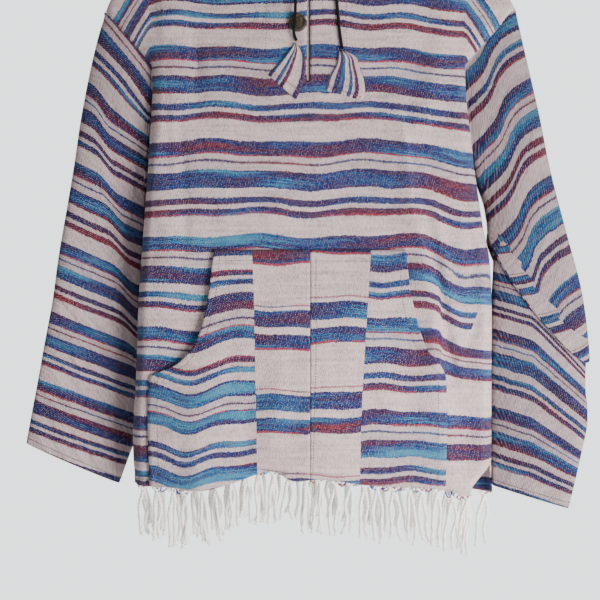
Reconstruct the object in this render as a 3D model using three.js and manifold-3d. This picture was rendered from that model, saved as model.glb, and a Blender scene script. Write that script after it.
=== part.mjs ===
// Hooded, fringed pullover of hand-woven striped cloth, hanging on a plain hanger.
// Millimetres. +X is the viewer's right, +Y points away from the front, +Z is up.
// The origin is the inner top of the hanger's hook, where a rail holds it.
import * as THREE from 'three';
import { mergeVertices } from 'three/addons/utils/BufferGeometryUtils.js';
import Module from 'manifold-3d';

// ---------------------------------------------------------------- driving dimensions
const CLOTH = 2;                 // wall of the woven cloth
const FACING_CLOTH = 1.4;        // thinner cloth of the placket facing
const SEAM_GAP = 0.3;            // between two pieces that are sewn together
const HALF_GAP = SEAM_GAP / 2;
const ARMHOLE_GAP = 0.45;        // at the curved armhole seams
const UNDERARM_HALF = 0.1;       // half the width of the sleeve's wall where it crosses the side seam
const LAID_GAP = 0.7;            // between a panel and what lies on it

const NECK_HALF = 80;            // half width of the neck opening
const NECK_TOP = -95;            // height of the shoulder seam's inner end
const FRONT_NECK_DROP = 40;
const BACK_NECK_DROP = 20;
const SHOULDER_SLOPE = 0.356;    // fall of the shoulder line for each unit of width
const RIDGE_RADIUS = 12;         // rounding of the cloth over the hanger's arms
const WRAP_WIDTH = 18;           // width of the rounded side of the body, seen from the front
const CHEST_TOP = -250;          // below this level the body hangs straight
const UNDERARM = -388;
const VENT_TOP = -786;           // the side seams end here, above the open side vents
const VENT_TURN = 30;            // how far the front's corner turns in at the right vent
const VENT_PART = 6;             // how far front and back stand apart at the vents

const SLIT_LEFT = -1.5;          // edges of the neck slit
const SLIT_RIGHT = 2.8;
const SLIT_END = -273;

// Outline and depth of the hanging body, level by level
const BODY = [
  { z: -95, left: -217, right: 213, front: 10, back: 10 },
  { z: -135, left: -217, right: 213, front: 14, back: 13 },
  { z: -165, left: -217, right: 213, front: 18, back: 16 },
  { z: -250, left: -213, right: 214, front: 25, back: 22 },
  { z: -300, left: -212, right: 216, front: 29, back: 26 },
  { z: -388, left: -219, right: 228, front: 34, back: 30 },
  { z: -470, left: -225, right: 240, front: 37, back: 33 },
  { z: -510, left: -228, right: 247, front: 38, back: 34 },
  { z: -570, left: -232, right: 249, front: 38, back: 34 },
  { z: -680, left: -236, right: 249, front: 36, back: 33 },
  { z: -760, left: -240, right: 250, front: 33, back: 30 },
  { z: -840, left: -236, right: 250, front: 31, back: 28 },
];

// How far the armhole seams stand from the middle plane, front and back
const ARMHOLE = [
  { z: -250, half: 14 },
  { z: -300, half: 15 },
  { z: -350, half: 11 },
  { z: UNDERARM, half: HALF_GAP },
];

// Shoulder cloth that droops past the hanger's tips, from the tip to the sleeve seam
const SHOULDER_LEFT = [
  { x: -224, z: -143 }, { x: -249, z: -147 }, { x: -269, z: -155 }, { x: -278, z: -174 },
];
const SHOULDER_RIGHT = [
  { x: 224, z: -143 }, { x: 252, z: -146 }, { x: 274, z: -153 }, { x: 285, z: -170 },
];

// Level of the front and back hems across the body
const FRONT_HEM = [
  { x: -240, z: -820 }, { x: -190, z: -823 }, { x: -160, z: -827 }, { x: -130, z: -818 },
  { x: -100, z: -804 }, { x: -70, z: -799 }, { x: -30, z: -803 }, { x: 3, z: -809 },
  { x: 60, z: -815 }, { x: 120, z: -822 }, { x: 180, z: -825 }, { x: 205, z: -834 },
  { x: 245, z: -836 },
];
const BACK_HEM = [
  { x: -240, z: -822 }, { x: -150, z: -829 }, { x: -60, z: -822 }, { x: 40, z: -830 },
  { x: 140, z: -826 }, { x: 245, z: -836 },
];

// Large folds: a line from one end to the other, bowed sideways, that rises or sinks by `rise`
const FRONT_FOLDS = [
  { x0: 116, z0: -300, x1: 187, z1: -880, bow: 20, width: 24, rise: 9 },
  { x0: 142, z0: -330, x1: 218, z1: -880, bow: 14, width: 18, rise: -6 },
  { x0: -158, z0: -190, x1: -150, z1: -330, bow: 3, width: 11, rise: -4 },
  { x0: -178, z0: -150, x1: -190, z1: -620, bow: -6, width: 20, rise: 5 },
  { x0: 186, z0: -150, x1: 148, z1: -360, bow: 6, width: 16, rise: 4 },
  { x0: -80, z0: -640, x1: -84, z1: -900, bow: 2, width: 24, rise: -7 },
  { x0: -150, z0: -690, x1: -152, z1: -940, bow: 2, width: 22, rise: 6 },
  { x0: 20, z0: -560, x1: 36, z1: -900, bow: 5, width: 34, rise: 4 },
];
const BACK_FOLDS = [
  { x0: -150, z0: -180, x1: -112, z1: -880, bow: -12, width: 24, rise: 8 },
  { x0: -84, z0: -360, x1: -60, z1: -900, bow: 8, width: 22, rise: -6 },
  { x0: 160, z0: -170, x1: 128, z1: -900, bow: 10, width: 26, rise: 8 },
  { x0: 92, z0: -400, x1: 70, z1: -900, bow: -6, width: 22, rise: -6 },
  { x0: 12, z0: -430, x1: 4, z1: -900, bow: 6, width: 30, rise: 6 },
];

// Left sleeve, section by section from the armhole to the cuff: the outer edge, the inner edge
// (which hangs behind the body), the bow of the section between them and its half thickness
const SLEEVE_LEFT = [
  { t: 0.0, outerX: -278, outerZ: -174, innerX: -220, innerY: 2, innerZ: -392, bow: 34, half: 14 },
  { t: 0.1, outerX: -293, outerZ: -224, innerX: -227, innerY: 8, innerZ: -410, bow: 34, half: 17 },
  { t: 0.2, outerX: -306, outerZ: -284, innerX: -228, innerY: 22, innerZ: -444, bow: 30, half: 19 },
  { t: 0.3, outerX: -317, outerZ: -354, innerX: -219, innerY: 42, innerZ: -492, bow: 26, half: 20 },
  { t: 0.4, outerX: -327, outerZ: -421, innerX: -211, innerY: 56, innerZ: -545, bow: 22, half: 20 },
  { t: 0.5, outerX: -340, outerZ: -489, innerX: -209, innerY: 59, innerZ: -600, bow: 18, half: 19 },
  { t: 0.6, outerX: -348, outerZ: -552, innerX: -213, innerY: 58, innerZ: -650, bow: 14, half: 18 },
  { t: 0.7, outerX: -360, outerZ: -618, innerX: -221, innerY: 54, innerZ: -698, bow: 10, half: 17 },
  { t: 0.8, outerX: -371, outerZ: -680, innerX: -235, innerY: 48, innerZ: -744, bow: 6, half: 16 },
  { t: 0.9, outerX: -380, outerZ: -728, innerX: -250, innerY: 40, innerZ: -786, bow: 3, half: 15 },
  { t: 1.0, outerX: -387, outerZ: -766, innerX: -264, innerY: 33, innerZ: -826, bow: 0, half: 14 },
];

// Right sleeve above the elbow pleat: its sections fan out until the folded edge hangs aslant
const SLEEVE_RIGHT_UPPER = [
  { t: 0.0, outerX: 285, outerZ: -170, innerX: 230, innerY: 2, innerZ: -392, bow: 34, half: 14 },
  { t: 0.14, outerX: 297, outerZ: -224, innerX: 234, innerY: 4, innerZ: -404, bow: 30, half: 18 },
  { t: 0.28, outerX: 315, outerZ: -300, innerX: 238, innerY: 5, innerZ: -420, bow: 22, half: 21 },
  { t: 0.42, outerX: 329, outerZ: -372, innerX: 242, innerY: 5, innerZ: -436, bow: 14, half: 23 },
  { t: 0.56, outerX: 346, outerZ: -446, innerX: 244, innerY: 4, innerZ: -450, bow: 6, half: 24 },
  { t: 0.7, outerX: 367, outerZ: -520, innerX: 246, innerY: 3, innerZ: -461, bow: -4, half: 25 },
  { t: 0.85, outerX: 383, outerZ: -590, innerX: 248, innerY: 2, innerZ: -470, bow: -13, half: 25 },
  { t: 1.0, outerX: 387, outerZ: -656, innerX: 249, innerY: 2, innerZ: -478, bow: -22, half: 24 },
];

// Right sleeve below the pleat, down to the cuff
const SLEEVE_RIGHT_LOWER = [
  { t: 0.0, outerX: 382, outerZ: -659, innerX: 258, innerY: 2, innerZ: -486, bow: -22, half: 18 },
  { t: 0.2, outerX: 382, outerZ: -694, innerX: 254, innerY: 3, innerZ: -562, bow: -12, half: 17 },
  { t: 0.45, outerX: 385, outerZ: -734, innerX: 252, innerY: 4, innerZ: -642, bow: -6, half: 16 },
  { t: 0.65, outerX: 379, outerZ: -766, innerX: 252, innerY: 5, innerZ: -710, bow: -2, half: 15 },
  { t: 0.83, outerX: 369, outerZ: -812, innerX: 252, innerY: 6, innerZ: -768, bow: 0, half: 14 },
  { t: 1.0, outerX: 358, outerZ: -856, innerX: 252, innerY: 6, innerZ: -824, bow: 0, half: 13 },
];
const PLEAT_FRONT = 30;          // overlap of the elbow pleat at the front of the inner edge
const PLEAT_LEAST = 6;           // overlap everywhere else
const PLEAT_GAP = 0.8;           // air between the layers of the pleat
const SLEEVE_CLOTH = 1.6;
const AIR_LEFT = 4;               // between the body's side and the left sleeve
const AIR_RIGHT = 1.8;            // the right sleeve lies closer

// Half hood, station by station along the neck seam from the front to the centre back:
// `bag` turns the upright collar into the hood cloth that falls back behind the neck
const HOOD = [
  { q: 0.0, rise: 20, reach: 2, bag: 0.0, drop: 0 },
  { q: 0.2, rise: 24, reach: 8, bag: 0.0, drop: 0 },
  { q: 0.4, rise: 24, reach: 20, bag: 0.0, drop: 0 },
  { q: 0.52, rise: 20, reach: 34, bag: 0.05, drop: 20 },
  { q: 0.64, rise: 17, reach: 52, bag: 0.4, drop: 60 },
  { q: 0.76, rise: 15, reach: 68, bag: 0.85, drop: 140 },
  { q: 0.88, rise: 13, reach: 76, bag: 1.0, drop: 205 },
  { q: 1.0, rise: 12, reach: 79, bag: 1.0, drop: 228 },
];
const HOOD_START = 8;            // the hood's front edges begin this far beside the slit
const HOOD_ROLL = 22;            // how far the hood clears the back before it falls
const HOOD_STEPS = 10;
const HOOD_STATIONS = 10;
const HOOD_SEAM_LIFT = 0.6;

// Kangaroo pocket: top edge, centre seam and the two curved hand openings
const POCKET_TOP = -503;
const POCKET_SEAM = 2.7;
const POCKET_BULGE = 10;
const POCKET_GAP = 1.1;          // between the pocket's sewn edges and the front
const POCKET_HEM_DROP = 7;       // the pocket's hem hangs lower than the body's near the centre
const POCKET_LEFT_EDGE = [
  { z: -503, x: -126 }, { z: -536, x: -130 }, { z: -570, x: -134 }, { z: -604, x: -142 },
  { z: -631, x: -153 }, { z: -654, x: -173 }, { z: -664, x: -193 }, { z: -672, x: -213 },
  { z: -840, x: -213 },
];
const POCKET_RIGHT_EDGE = [
  { z: -503, x: 131 }, { z: -536, x: 134 }, { z: -570, x: 139 }, { z: -610, x: 149 },
  { z: -637, x: 159 }, { z: -656, x: 176 }, { z: -676, x: 185 }, { z: -840, x: 185 },
];

const FACING_LEFT = -58;
const FACING_RIGHT = 53;
const FACING_END = -308;
const FACING_SLIT_LEFT = 1.7;
const FACING_SLIT_RIGHT = 2.4;
const FACING_NECK_INSET = 5;

const BUTTON_RADIUS = 12.5;
const BUTTON_THICKNESS = 4;
const BUTTON_X = -14.2;
const BUTTON_Z = -194.7;
const BUTTON_HOLE_RADIUS = 1.2;
const BUTTON_HOLE_SPREAD = 3;

const CORD_RADIUS = 2;
const CASING_CLEARANCE = 0.6;    // between the hood's face and the end of a cord
const TAB_THICKNESS = 4.6;

const HANGER_HALF = 213;
const HANGER_HALF_THICKNESS = 5;
const HANGER_ROUNDING = 3;
const ARM_CLEARANCE = 1.5;       // under the ridge of the cloth, so that the rounded arm just clears it
const HANGER_MIDDLE = -72;       // top of the arms where the hook is fixed
const HANGER_DEEP = 24;
const HANGER_TIP_DEEP = 13;
const HOOK_WIRE = 2;             // radius of the hook's wire
const HOOK_RADIUS = 24;          // radius of the hook's curve along the wire's centre

const FRINGE_STRIP = 5;
const FRONT_KNOTS = 28;
const BACK_KNOTS = 22;
const STRAND_RADIUS = 1.9;

// ---------------------------------------------------------------- small helpers
const { lerp, clamp, smoothstep } = THREE.MathUtils;
const vec = (x, y, z) => new THREE.Vector3(x, y, z);
const mix = (a, b, t) => a.clone().lerp(b, t);

// Value of one column of a table at a key, through the rows by a smooth curve
function at(table, key, value, column) {
  const falling = table[0][key] > table[table.length - 1][key];
  const rows = falling ? [...table].reverse() : table;
  if (value <= rows[0][key]) return rows[0][column];
  const last = rows.length - 1;
  if (value >= rows[last][key]) return rows[last][column];
  const i = rows.findIndex((row, k) => k < last && value <= rows[k + 1][key]);
  const slope = (k) => {
    const a = rows[Math.max(k - 1, 0)];
    const b = rows[Math.min(k + 1, last)];
    return (b[column] - a[column]) / (b[key] - a[key]);
  };
  const step = rows[i + 1][key] - rows[i][key];
  const t = (value - rows[i][key]) / step;
  const t2 = t * t;
  const t3 = t2 * t;
  return (2 * t3 - 3 * t2 + 1) * rows[i][column] + (t3 - 2 * t2 + t) * step * slope(i)
    + (3 * t2 - 2 * t3) * rows[i + 1][column] + (t3 - t2) * step * slope(i + 1);
}

// Evenly spaced numbers from a to b, without the first one
const steps = (a, b, count) => Array.from({ length: count }, (_, k) => lerp(a, b, (k + 1) / count));

function geometryOf(points, triangles) {
  const geometry = new THREE.BufferGeometry();
  geometry.setAttribute('position', new THREE.Float32BufferAttribute(points.flatMap((p) => p.toArray()), 3));
  geometry.setIndex(triangles);
  let volume = 0;
  for (let k = 0; k < triangles.length; k += 3) {
    const [a, b, c] = [0, 1, 2].map((n) => points[triangles[k + n]]);
    volume += a.dot(b.clone().cross(c));
  }
  if (volume < 0) {
    for (let k = 0; k < triangles.length; k += 3) {
      [triangles[k + 1], triangles[k + 2]] = [triangles[k + 2], triangles[k + 1]];
    }
    geometry.setIndex(triangles);
  }
  geometry.computeVertexNormals();
  return geometry;
}

// Outward normals of a grid of points; `around` closes each row on itself
function gridNormals(grid, around, side) {
  const lastRow = grid.length - 1;
  return grid.map((row, i) => row.map((point, j) => {
    const n = row.length;
    const next = around ? row[(j + 1) % n] : row[Math.min(j + 1, n - 1)];
    const before = around ? row[(j + n - 1) % n] : row[Math.max(j - 1, 0)];
    const down = grid[Math.min(i + 1, lastRow)][j].clone().sub(grid[Math.max(i - 1, 0)][j]);
    return next.clone().sub(before).cross(down).normalize().multiplyScalar(side);
  }));
}

// A closed wall between two grids of points; cells that `keep` refuses are left open
function clothWall(outer, inner, around = false, keep = () => true) {
  const points = [];
  const index = new Map();
  const cells = outer[0].length - (around ? 0 : 1);
  const wrap = (j) => (around ? j % outer[0].length : j);
  const at3 = (layer, i, j) => {
    const name = `${layer},${i},${wrap(j)}`;
    if (!index.has(name)) {
      index.set(name, points.length);
      points.push((layer ? inner : outer)[i][wrap(j)]);
    }
    return index.get(name);
  };
  const triangles = [];
  const quad = (a, b, c, d) => triangles.push(a, b, c, a, c, d);
  const kept = (i, j) => {
    if (i < 0 || i >= outer.length - 1) return false;
    if (!around && (j < 0 || j >= cells)) return false;
    return keep(i, around ? (j + cells) % cells : j);
  };
  for (let i = 0; i < outer.length - 1; i += 1) {
    for (let j = 0; j < cells; j += 1) {
      if (!kept(i, j)) continue;
      quad(at3(0, i, j), at3(0, i + 1, j), at3(0, i + 1, j + 1), at3(0, i, j + 1));
      quad(at3(1, i, j), at3(1, i, j + 1), at3(1, i + 1, j + 1), at3(1, i + 1, j));
      if (!kept(i - 1, j)) quad(at3(0, i, j), at3(0, i, j + 1), at3(1, i, j + 1), at3(1, i, j));
      if (!kept(i + 1, j)) {
        quad(at3(0, i + 1, j + 1), at3(0, i + 1, j), at3(1, i + 1, j), at3(1, i + 1, j + 1));
      }
      if (!kept(i, j - 1)) quad(at3(0, i, j), at3(1, i, j), at3(1, i + 1, j), at3(0, i + 1, j));
      if (!kept(i, j + 1)) {
        quad(at3(0, i, j + 1), at3(0, i + 1, j + 1), at3(1, i + 1, j + 1), at3(1, i, j + 1));
      }
    }
  }
  return geometryOf(points, triangles);
}

// The inner face of a wall, a cloth's thickness behind its outer points
function innerFace(outer, thickness, around, side) {
  const normals = gridNormals(outer, around, side);
  return outer.map((row, i) => row.map((p, j) => p.clone().addScaledVector(normals[i][j], -thickness)));
}

// ---------------------------------------------------------------- the hanging body
const shoulderLine = (x) => NECK_TOP - SHOULDER_SLOPE * Math.max(Math.abs(x) - NECK_HALF, 0);

// Sum of the folds at a place on a panel
function foldHeight(folds, x, z) {
  return folds.reduce((sum, f) => {
    const t = (f.z0 - z) / (f.z0 - f.z1);
    if (t <= 0 || t >= 1) return sum;
    const line = lerp(f.x0, f.x1, t) + f.bow * Math.sin(Math.PI * t);
    const ends = Math.sin(Math.PI * t) ** 0.7;
    return sum + f.rise * ends * Math.exp(-(((x - line) / f.width) ** 2));
  }, 0);
}

// Depth of the front or back cloth at a place, measured from the middle plane
function clothDepth(face, x, z) {
  const folds = face === 'front' ? FRONT_FOLDS : BACK_FOLDS;
  const neckFill = 5 * Math.exp(-((x / 60) ** 2)) * smoothstep(z, -330, -150);
  const fall = clamp((shoulderLine(x) - z) / RIDGE_RADIUS, 0, 1);
  const ridge = Math.sqrt(1 - (1 - fall) ** 2);
  return (at(BODY, 'z', z, face) + neckFill + foldHeight(folds, x, z)) * ridge;
}

const frontPoint = (x, z, out = 0) => vec(x, -clothDepth('front', x, z) - out, z);

// Edges of a panel at a level; the front's corner turns in at the right side vent
function sideEdge(face, left, z) {
  const vent = smoothstep(-z, -VENT_TOP, -VENT_TOP + 50);
  const edge = at(BODY, 'z', z, left ? 'left' : 'right');
  if (left) return face === 'front' ? edge + 3 * vent : edge - 2 * vent;
  return face === 'front' ? edge - VENT_TURN * vent : edge + 3 * vent;
}

const seamHalf = (z) => (z > UNDERARM ? at(ARMHOLE, 'z', z, 'half')
  : HALF_GAP + VENT_PART * smoothstep(-z, -VENT_TOP, -VENT_TOP + 40));

const NECK_STATIONS = [0.36, 0.7, 0.93, 1];   // columns across half the neck opening
const SHOULDER_COLUMNS = 6;
const WRAP_COLUMNS = 4;
const CORE_TOP = 200;            // half width of the flat part of the body at the shoulders
const TOP_ROWS = [0, 0.04, 0.12, 0.35, 0.68, 1];
const ARMHOLE_LEVELS = [-273, -300, -330, -360, UNDERARM];
const LOWER_ROWS = 8;

// Where a column of a panel lies: -1 and 1 are the outer edges of its flat part
const CORE_STATIONS = [0, ...NECK_STATIONS.map((f) => f * NECK_HALF / CORE_TOP),
  ...steps(NECK_HALF / CORE_TOP, 1, SHOULDER_COLUMNS)];

function panelColumns() {
  const side = (left) => [
    ...CORE_STATIONS.map((f) => ({ left, flat: f, wrap: 0 })),
    ...steps(0, 1, WRAP_COLUMNS).map((w, k) => ({ left, flat: 1, wrap: w, drape: k })),
  ];
  return [...side(true).reverse(), ...side(false)];
}

// A point of the body below the chest: flat in the middle, rounded at the sides
function bodyPoint(face, column, z) {
  const sign = face === 'front' ? -1 : 1;
  const edge = sideEdge(face, column.left, z);
  const flatEdge = edge + (column.left ? WRAP_WIDTH : -WRAP_WIDTH);
  const slit = column.left ? SLIT_LEFT : SLIT_RIGHT;
  if (column.wrap === 0) {
    const x = lerp(slit, flatEdge, column.flat);
    return vec(x, sign * clothDepth(face, x, z), z);
  }
  const angle = column.wrap * Math.PI / 2;
  const depth = clothDepth(face, flatEdge, z);
  const half = seamHalf(z);
  return vec(lerp(flatEdge, edge, Math.sin(angle)), sign * (half + (depth - half) * Math.cos(angle)), z);
}

// The top edge of a column: shoulder seam, neckline or the drooping end of the shoulder
function topPoint(face, column) {
  const sign = face === 'front' ? -1 : 1;
  if (column.wrap > 0) {
    const droop = (column.left ? SHOULDER_LEFT : SHOULDER_RIGHT)[column.drape];
    return vec(droop.x, sign * HALF_GAP, droop.z);
  }
  const slit = column.left ? SLIT_LEFT : SLIT_RIGHT;
  const x = lerp(slit, column.left ? -CORE_TOP : CORE_TOP, column.flat);
  const across = clamp(Math.abs(x) / NECK_HALF, 0, 1);
  const drop = (face === 'front' ? FRONT_NECK_DROP : BACK_NECK_DROP) * (1 - across ** 2);
  const z = shoulderLine(x) - drop;
  return vec(x, sign * Math.max(clothDepth(face, x, z), HALF_GAP), z);
}

// A point of the shoulder zone, between the top edge and the chest
function shoulderPoint(face, column, w) {
  const top = topPoint(face, column);
  const chest = bodyPoint(face, column, CHEST_TOP);
  const point = mix(top, chest, w);
  const sign = face === 'front' ? -1 : 1;
  if (w === 0) return point;
  if (column.wrap === 0) {
    point.y = sign * Math.max(clothDepth(face, point.x, point.z), HALF_GAP);
    return point;
  }
  const fall = clamp(w * (top.z - CHEST_TOP) / RIDGE_RADIUS, 0, 1);
  const ridge = Math.sqrt(1 - (1 - fall) ** 2);
  const shoulderDepth = lerp(10, 7, column.wrap);
  point.y = sign * lerp(shoulderDepth, Math.abs(chest.y), w) * ridge;
  return point;
}

function panelGrid(face) {
  const columns = panelColumns();
  const hem = face === 'front' ? FRONT_HEM : BACK_HEM;
  const rows = TOP_ROWS.map((w) => columns.map((c) => shoulderPoint(face, c, w)));
  ARMHOLE_LEVELS.forEach((z) => rows.push(columns.map((c) => bodyPoint(face, c, z))));
  steps(0, 1, LOWER_ROWS).forEach((t) => {
    rows.push(columns.map((c) => {
      const hemZ = at(hem, 'x', bodyPoint(face, c, -820).x, 'z');
      return bodyPoint(face, c, lerp(UNDERARM, hemZ, t));
    }));
  });
  return rows;
}

// A body panel keeps to its own side of the middle plane, where the seams are
function panel(face) {
  const sign = face === 'front' ? -1 : 1;
  const outer = panelGrid(face);
  const inner = innerFace(outer, CLOTH, false, face === 'front' ? -1 : 1);
  inner.forEach((row) => row.forEach((p) => {
    p.y = sign * Math.max(sign * p.y, HALF_GAP);
  }));
  return { outer, inner };
}

const front = panel('front');
const back = panel('back');
const SLIT_CELL = CORE_STATIONS.length + WRAP_COLUMNS - 1;
const slitRows = TOP_ROWS.length;        // rows of cells that the slit opens
const frontKeep = (i, j) => !(j === SLIT_CELL && i < slitRows);

// ---------------------------------------------------------------- sleeves
const RING_HALF = TOP_ROWS.length + ARMHOLE_LEVELS.length - 1;   // cells from shoulder to underarm

// The armhole's edge as a closed ring: down the front panel's side, up the back panel's side
function armholeRing(left) {
  const column = left ? 0 : front.outer[0].length - 1;
  const beside = left ? 1 : front.outer[0].length - 2;
  const edge = (piece, i) => {
    const o = piece.outer[i][column];
    const n = piece.inner[i][column];
    const along = piece.outer[Math.min(i + 1, RING_HALF)][column].clone()
      .sub(piece.outer[Math.max(i - 1, 0)][column]);
    const away = n.clone().sub(o).cross(along).normalize();
    if (away.dot(o.clone().sub(piece.outer[i][beside])) < 0) away.negate();
    return { outer: o.clone().addScaledVector(away, ARMHOLE_GAP), inner: n.clone().addScaledVector(away, ARMHOLE_GAP) };
  };
  // At the underarm both panels meet, and the sleeve's wall lies just outside their side seam
  const outwards = (left ? -1 : 1) * (SEAM_GAP + 0.1);
  const underarm = (side) => {
    const o = vec(front.outer[RING_HALF][column].x + outwards, side * UNDERARM_HALF, UNDERARM);
    return { outer: o, inner: o.clone().add(vec(outwards * 0.5, 0, SLEEVE_CLOTH)) };
  };
  const ring = [];
  for (let i = 0; i < RING_HALF; i += 1) ring.push(edge(front, i));
  ring.push(underarm(-1), underarm(1));
  for (let i = RING_HALF - 1; i >= 0; i -= 1) ring.push(edge(back, i));
  return ring;
}

const ringFraction = (k) => (k <= RING_HALF ? k : 2 * RING_HALF + 1 - k) / RING_HALF;

// A flattened section of a sleeve, from its outer edge down the front and up the back
function sleeveSection(table, t) {
  const c = (name) => at(table, 't', t, name);
  const outer = vec(c('outerX'), 0, c('outerZ'));
  const inner = vec(c('innerX'), c('innerY'), c('innerZ'));
  const across = inner.clone().sub(outer);
  const bowWay = vec(-across.z, 0, across.x).normalize().multiplyScalar(Math.sign(outer.x) * -1);
  const lean = vec(0, -1, 0);
  return Array.from({ length: 2 * RING_HALF + 2 }, (_, k) => {
    const f = ringFraction(k);
    const turn = Math.PI * lerp(0.03, 0.97, f);
    const isFront = k <= RING_HALF;
    const point = mix(outer, inner, (1 - Math.cos(turn)) / 2);
    point.addScaledVector(bowWay, c('bow') * Math.sin(Math.PI * f));
    point.addScaledVector(lean, (isFront ? 1 : -1) * c('half') * Math.sin(turn) ** 0.8);
    return point;
  });
}

// Moves a point of a sleeve out of the body's rounded side, with a little air between them
function clearOfBody(point, left, air) {
  const outwards = left ? -1 : 1;
  const level = Math.min(point.z, CHEST_TOP);
  const chest = sideEdge('back', left, level);
  const top = (left ? SHOULDER_LEFT : SHOULDER_RIGHT)[WRAP_COLUMNS - 1];
  const edge = point.z > CHEST_TOP ? lerp(chest, top.x, (point.z - CHEST_TOP) / (top.z - CHEST_TOP)) : chest;
  const flat = edge - outwards * WRAP_WIDTH;
  const depth = clothDepth(point.y < 0 ? 'front' : 'back', chest - outwards * WRAP_WIDTH, level) + air;
  const beyond = (point.x - flat) * outwards;
  const aside = Math.abs(point.y);
  if (beyond <= 0) {
    if (aside < depth) point.y = Math.sign(point.y) * depth;
    return point;
  }
  const reach = ((beyond / (WRAP_WIDTH + air)) ** 3 + (aside / depth) ** 3) ** (1 / 3);
  if (reach < 1) {
    point.x = flat + outwards * beyond / reach;
    point.y /= reach;
  }
  return point;
}

// Rings near the armhole are drawn from its edge towards the first sections
const SEAM_BLEND = [
  { t: 0.02, w: 0.08 }, { t: 0.05, w: 0.25 }, { t: 0.1, w: 0.55 }, { t: 0.16, w: 0.82 },
];

function sleeveStart(table, ring, left) {
  return SEAM_BLEND.map(({ t, w }, n) => sleeveSection(table, t).map((p, k) => {
    const air = left ? AIR_LEFT : AIR_RIGHT;
    const point = clearOfBody(mix(ring[k].outer, p, w), left, n === 0 ? 0.75 * air : air);
    const seamY = Math.abs(ring[k].outer.y);
    if (n === 0) point.y = Math.sign(ring[k].outer.y) * Math.min(Math.abs(point.y), seamY * 0.93);
    return point;
  }));
}

function sleeveWall(rings, armhole, left) {
  const outer = [armhole.map((e) => e.outer), ...rings];
  const inner = innerFace(outer, SLEEVE_CLOTH, true, left ? -1 : 1);
  inner[0] = armhole.map((e) => e.inner);
  return clothWall(outer, inner, true);
}

function sleeveLeft() {
  const armhole = armholeRing(true);
  const body = steps(0.16, 1, 9).map((t) => sleeveSection(SLEEVE_LEFT, t).map((p) => clearOfBody(p, true, AIR_LEFT)));
  return sleeveWall([...sleeveStart(SLEEVE_LEFT, armhole, true), ...body], armhole, true);
}

// A ring moved inwards, in the plane that the ring's own points span
function shrinkRing(ring, amount) {
  const n = ring.length;
  const middle = ring.reduce((sum, p) => sum.add(p), vec(0, 0, 0)).divideScalar(n);
  const axis = ring[0].clone().sub(middle).cross(ring[Math.floor(n / 4)].clone().sub(middle)).normalize();
  return ring.map((p, k) => {
    const along = ring[(k + 1) % n].clone().sub(ring[(k + n - 1) % n]);
    const inwards = along.cross(axis).normalize();
    if (inwards.dot(middle.clone().sub(p)) < 0) inwards.negate();
    return p.clone().addScaledVector(inwards, amount);
  });
}

// The elbow pleat: the cloth turns up inside the upper sleeve and down again
function elbowPleat(edge, upper) {
  const overlap = (k) => {
    const f = ringFraction(k);
    const isFront = k <= RING_HALF;
    return PLEAT_LEAST + (isFront ? PLEAT_FRONT - PLEAT_LEAST : 0) * Math.sin(Math.PI * 0.5 * f) ** 1.5;
  };
  const raised = (ring, share) => ring.map((p, k) => {
    const way = upper[k].clone().sub(edge[k]).normalize();
    return p.clone().addScaledVector(way, share * overlap(k));
  });
  const turn = 0.16;
  const layer2 = shrinkRing(edge, 2 * SLEEVE_CLOTH + PLEAT_GAP);
  const layer3 = shrinkRing(edge, 2 * SLEEVE_CLOTH + 2 * PLEAT_GAP);
  return [
    raised(edge, turn),
    shrinkRing(edge, SLEEVE_CLOTH + PLEAT_GAP / 2),
    raised(layer2, turn),
    raised(layer2, 1 - turn),
    raised(shrinkRing(edge, 2 * SLEEVE_CLOTH + 1.5 * PLEAT_GAP), 1),
    raised(layer3, 1 - turn),
  ];
}

function sleeveRight() {
  const armhole = armholeRing(false);
  const section = (table, t) => sleeveSection(table, t).map((p) => clearOfBody(p, false, AIR_RIGHT));
  const upper = steps(0.16, 0.93, 5).map((t) => section(SLEEVE_RIGHT_UPPER, t));
  const edge = section(SLEEVE_RIGHT_UPPER, 1);
  const lower = [0.04, ...steps(0.04, 1, 6)].map((t) => section(SLEEVE_RIGHT_LOWER, t));
  const rings = [...sleeveStart(SLEEVE_RIGHT_UPPER, armhole, false), ...upper,
    ...elbowPleat(edge, upper[upper.length - 1]), ...lower];
  return sleeveWall(rings, armhole, false);
}

// ---------------------------------------------------------------- hood
// The neck seam of one half, from beside the slit round to the centre back
function neckSeam(left, q) {
  const sign = left ? -1 : 1;
  const slit = left ? SLIT_LEFT : SLIT_RIGHT;
  const isFront = q < 0.5;
  const share = isFront ? q * 2 : (1 - q) * 2;
  const startX = isFront ? Math.abs(slit) + HOOD_START : HALF_GAP;
  const x = lerp(startX, NECK_HALF, Math.sin(share * Math.PI / 2)) * sign;
  const edge = (isFront ? front : back).outer[0];
  const k = edge.findIndex((p, n) => n < edge.length - 1 && x <= edge[n + 1].x);
  return mix(edge[k], edge[k + 1], (x - edge[k].x) / (edge[k + 1].x - edge[k].x)).add(vec(0, 0, HOOD_SEAM_LIFT));
}

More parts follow.
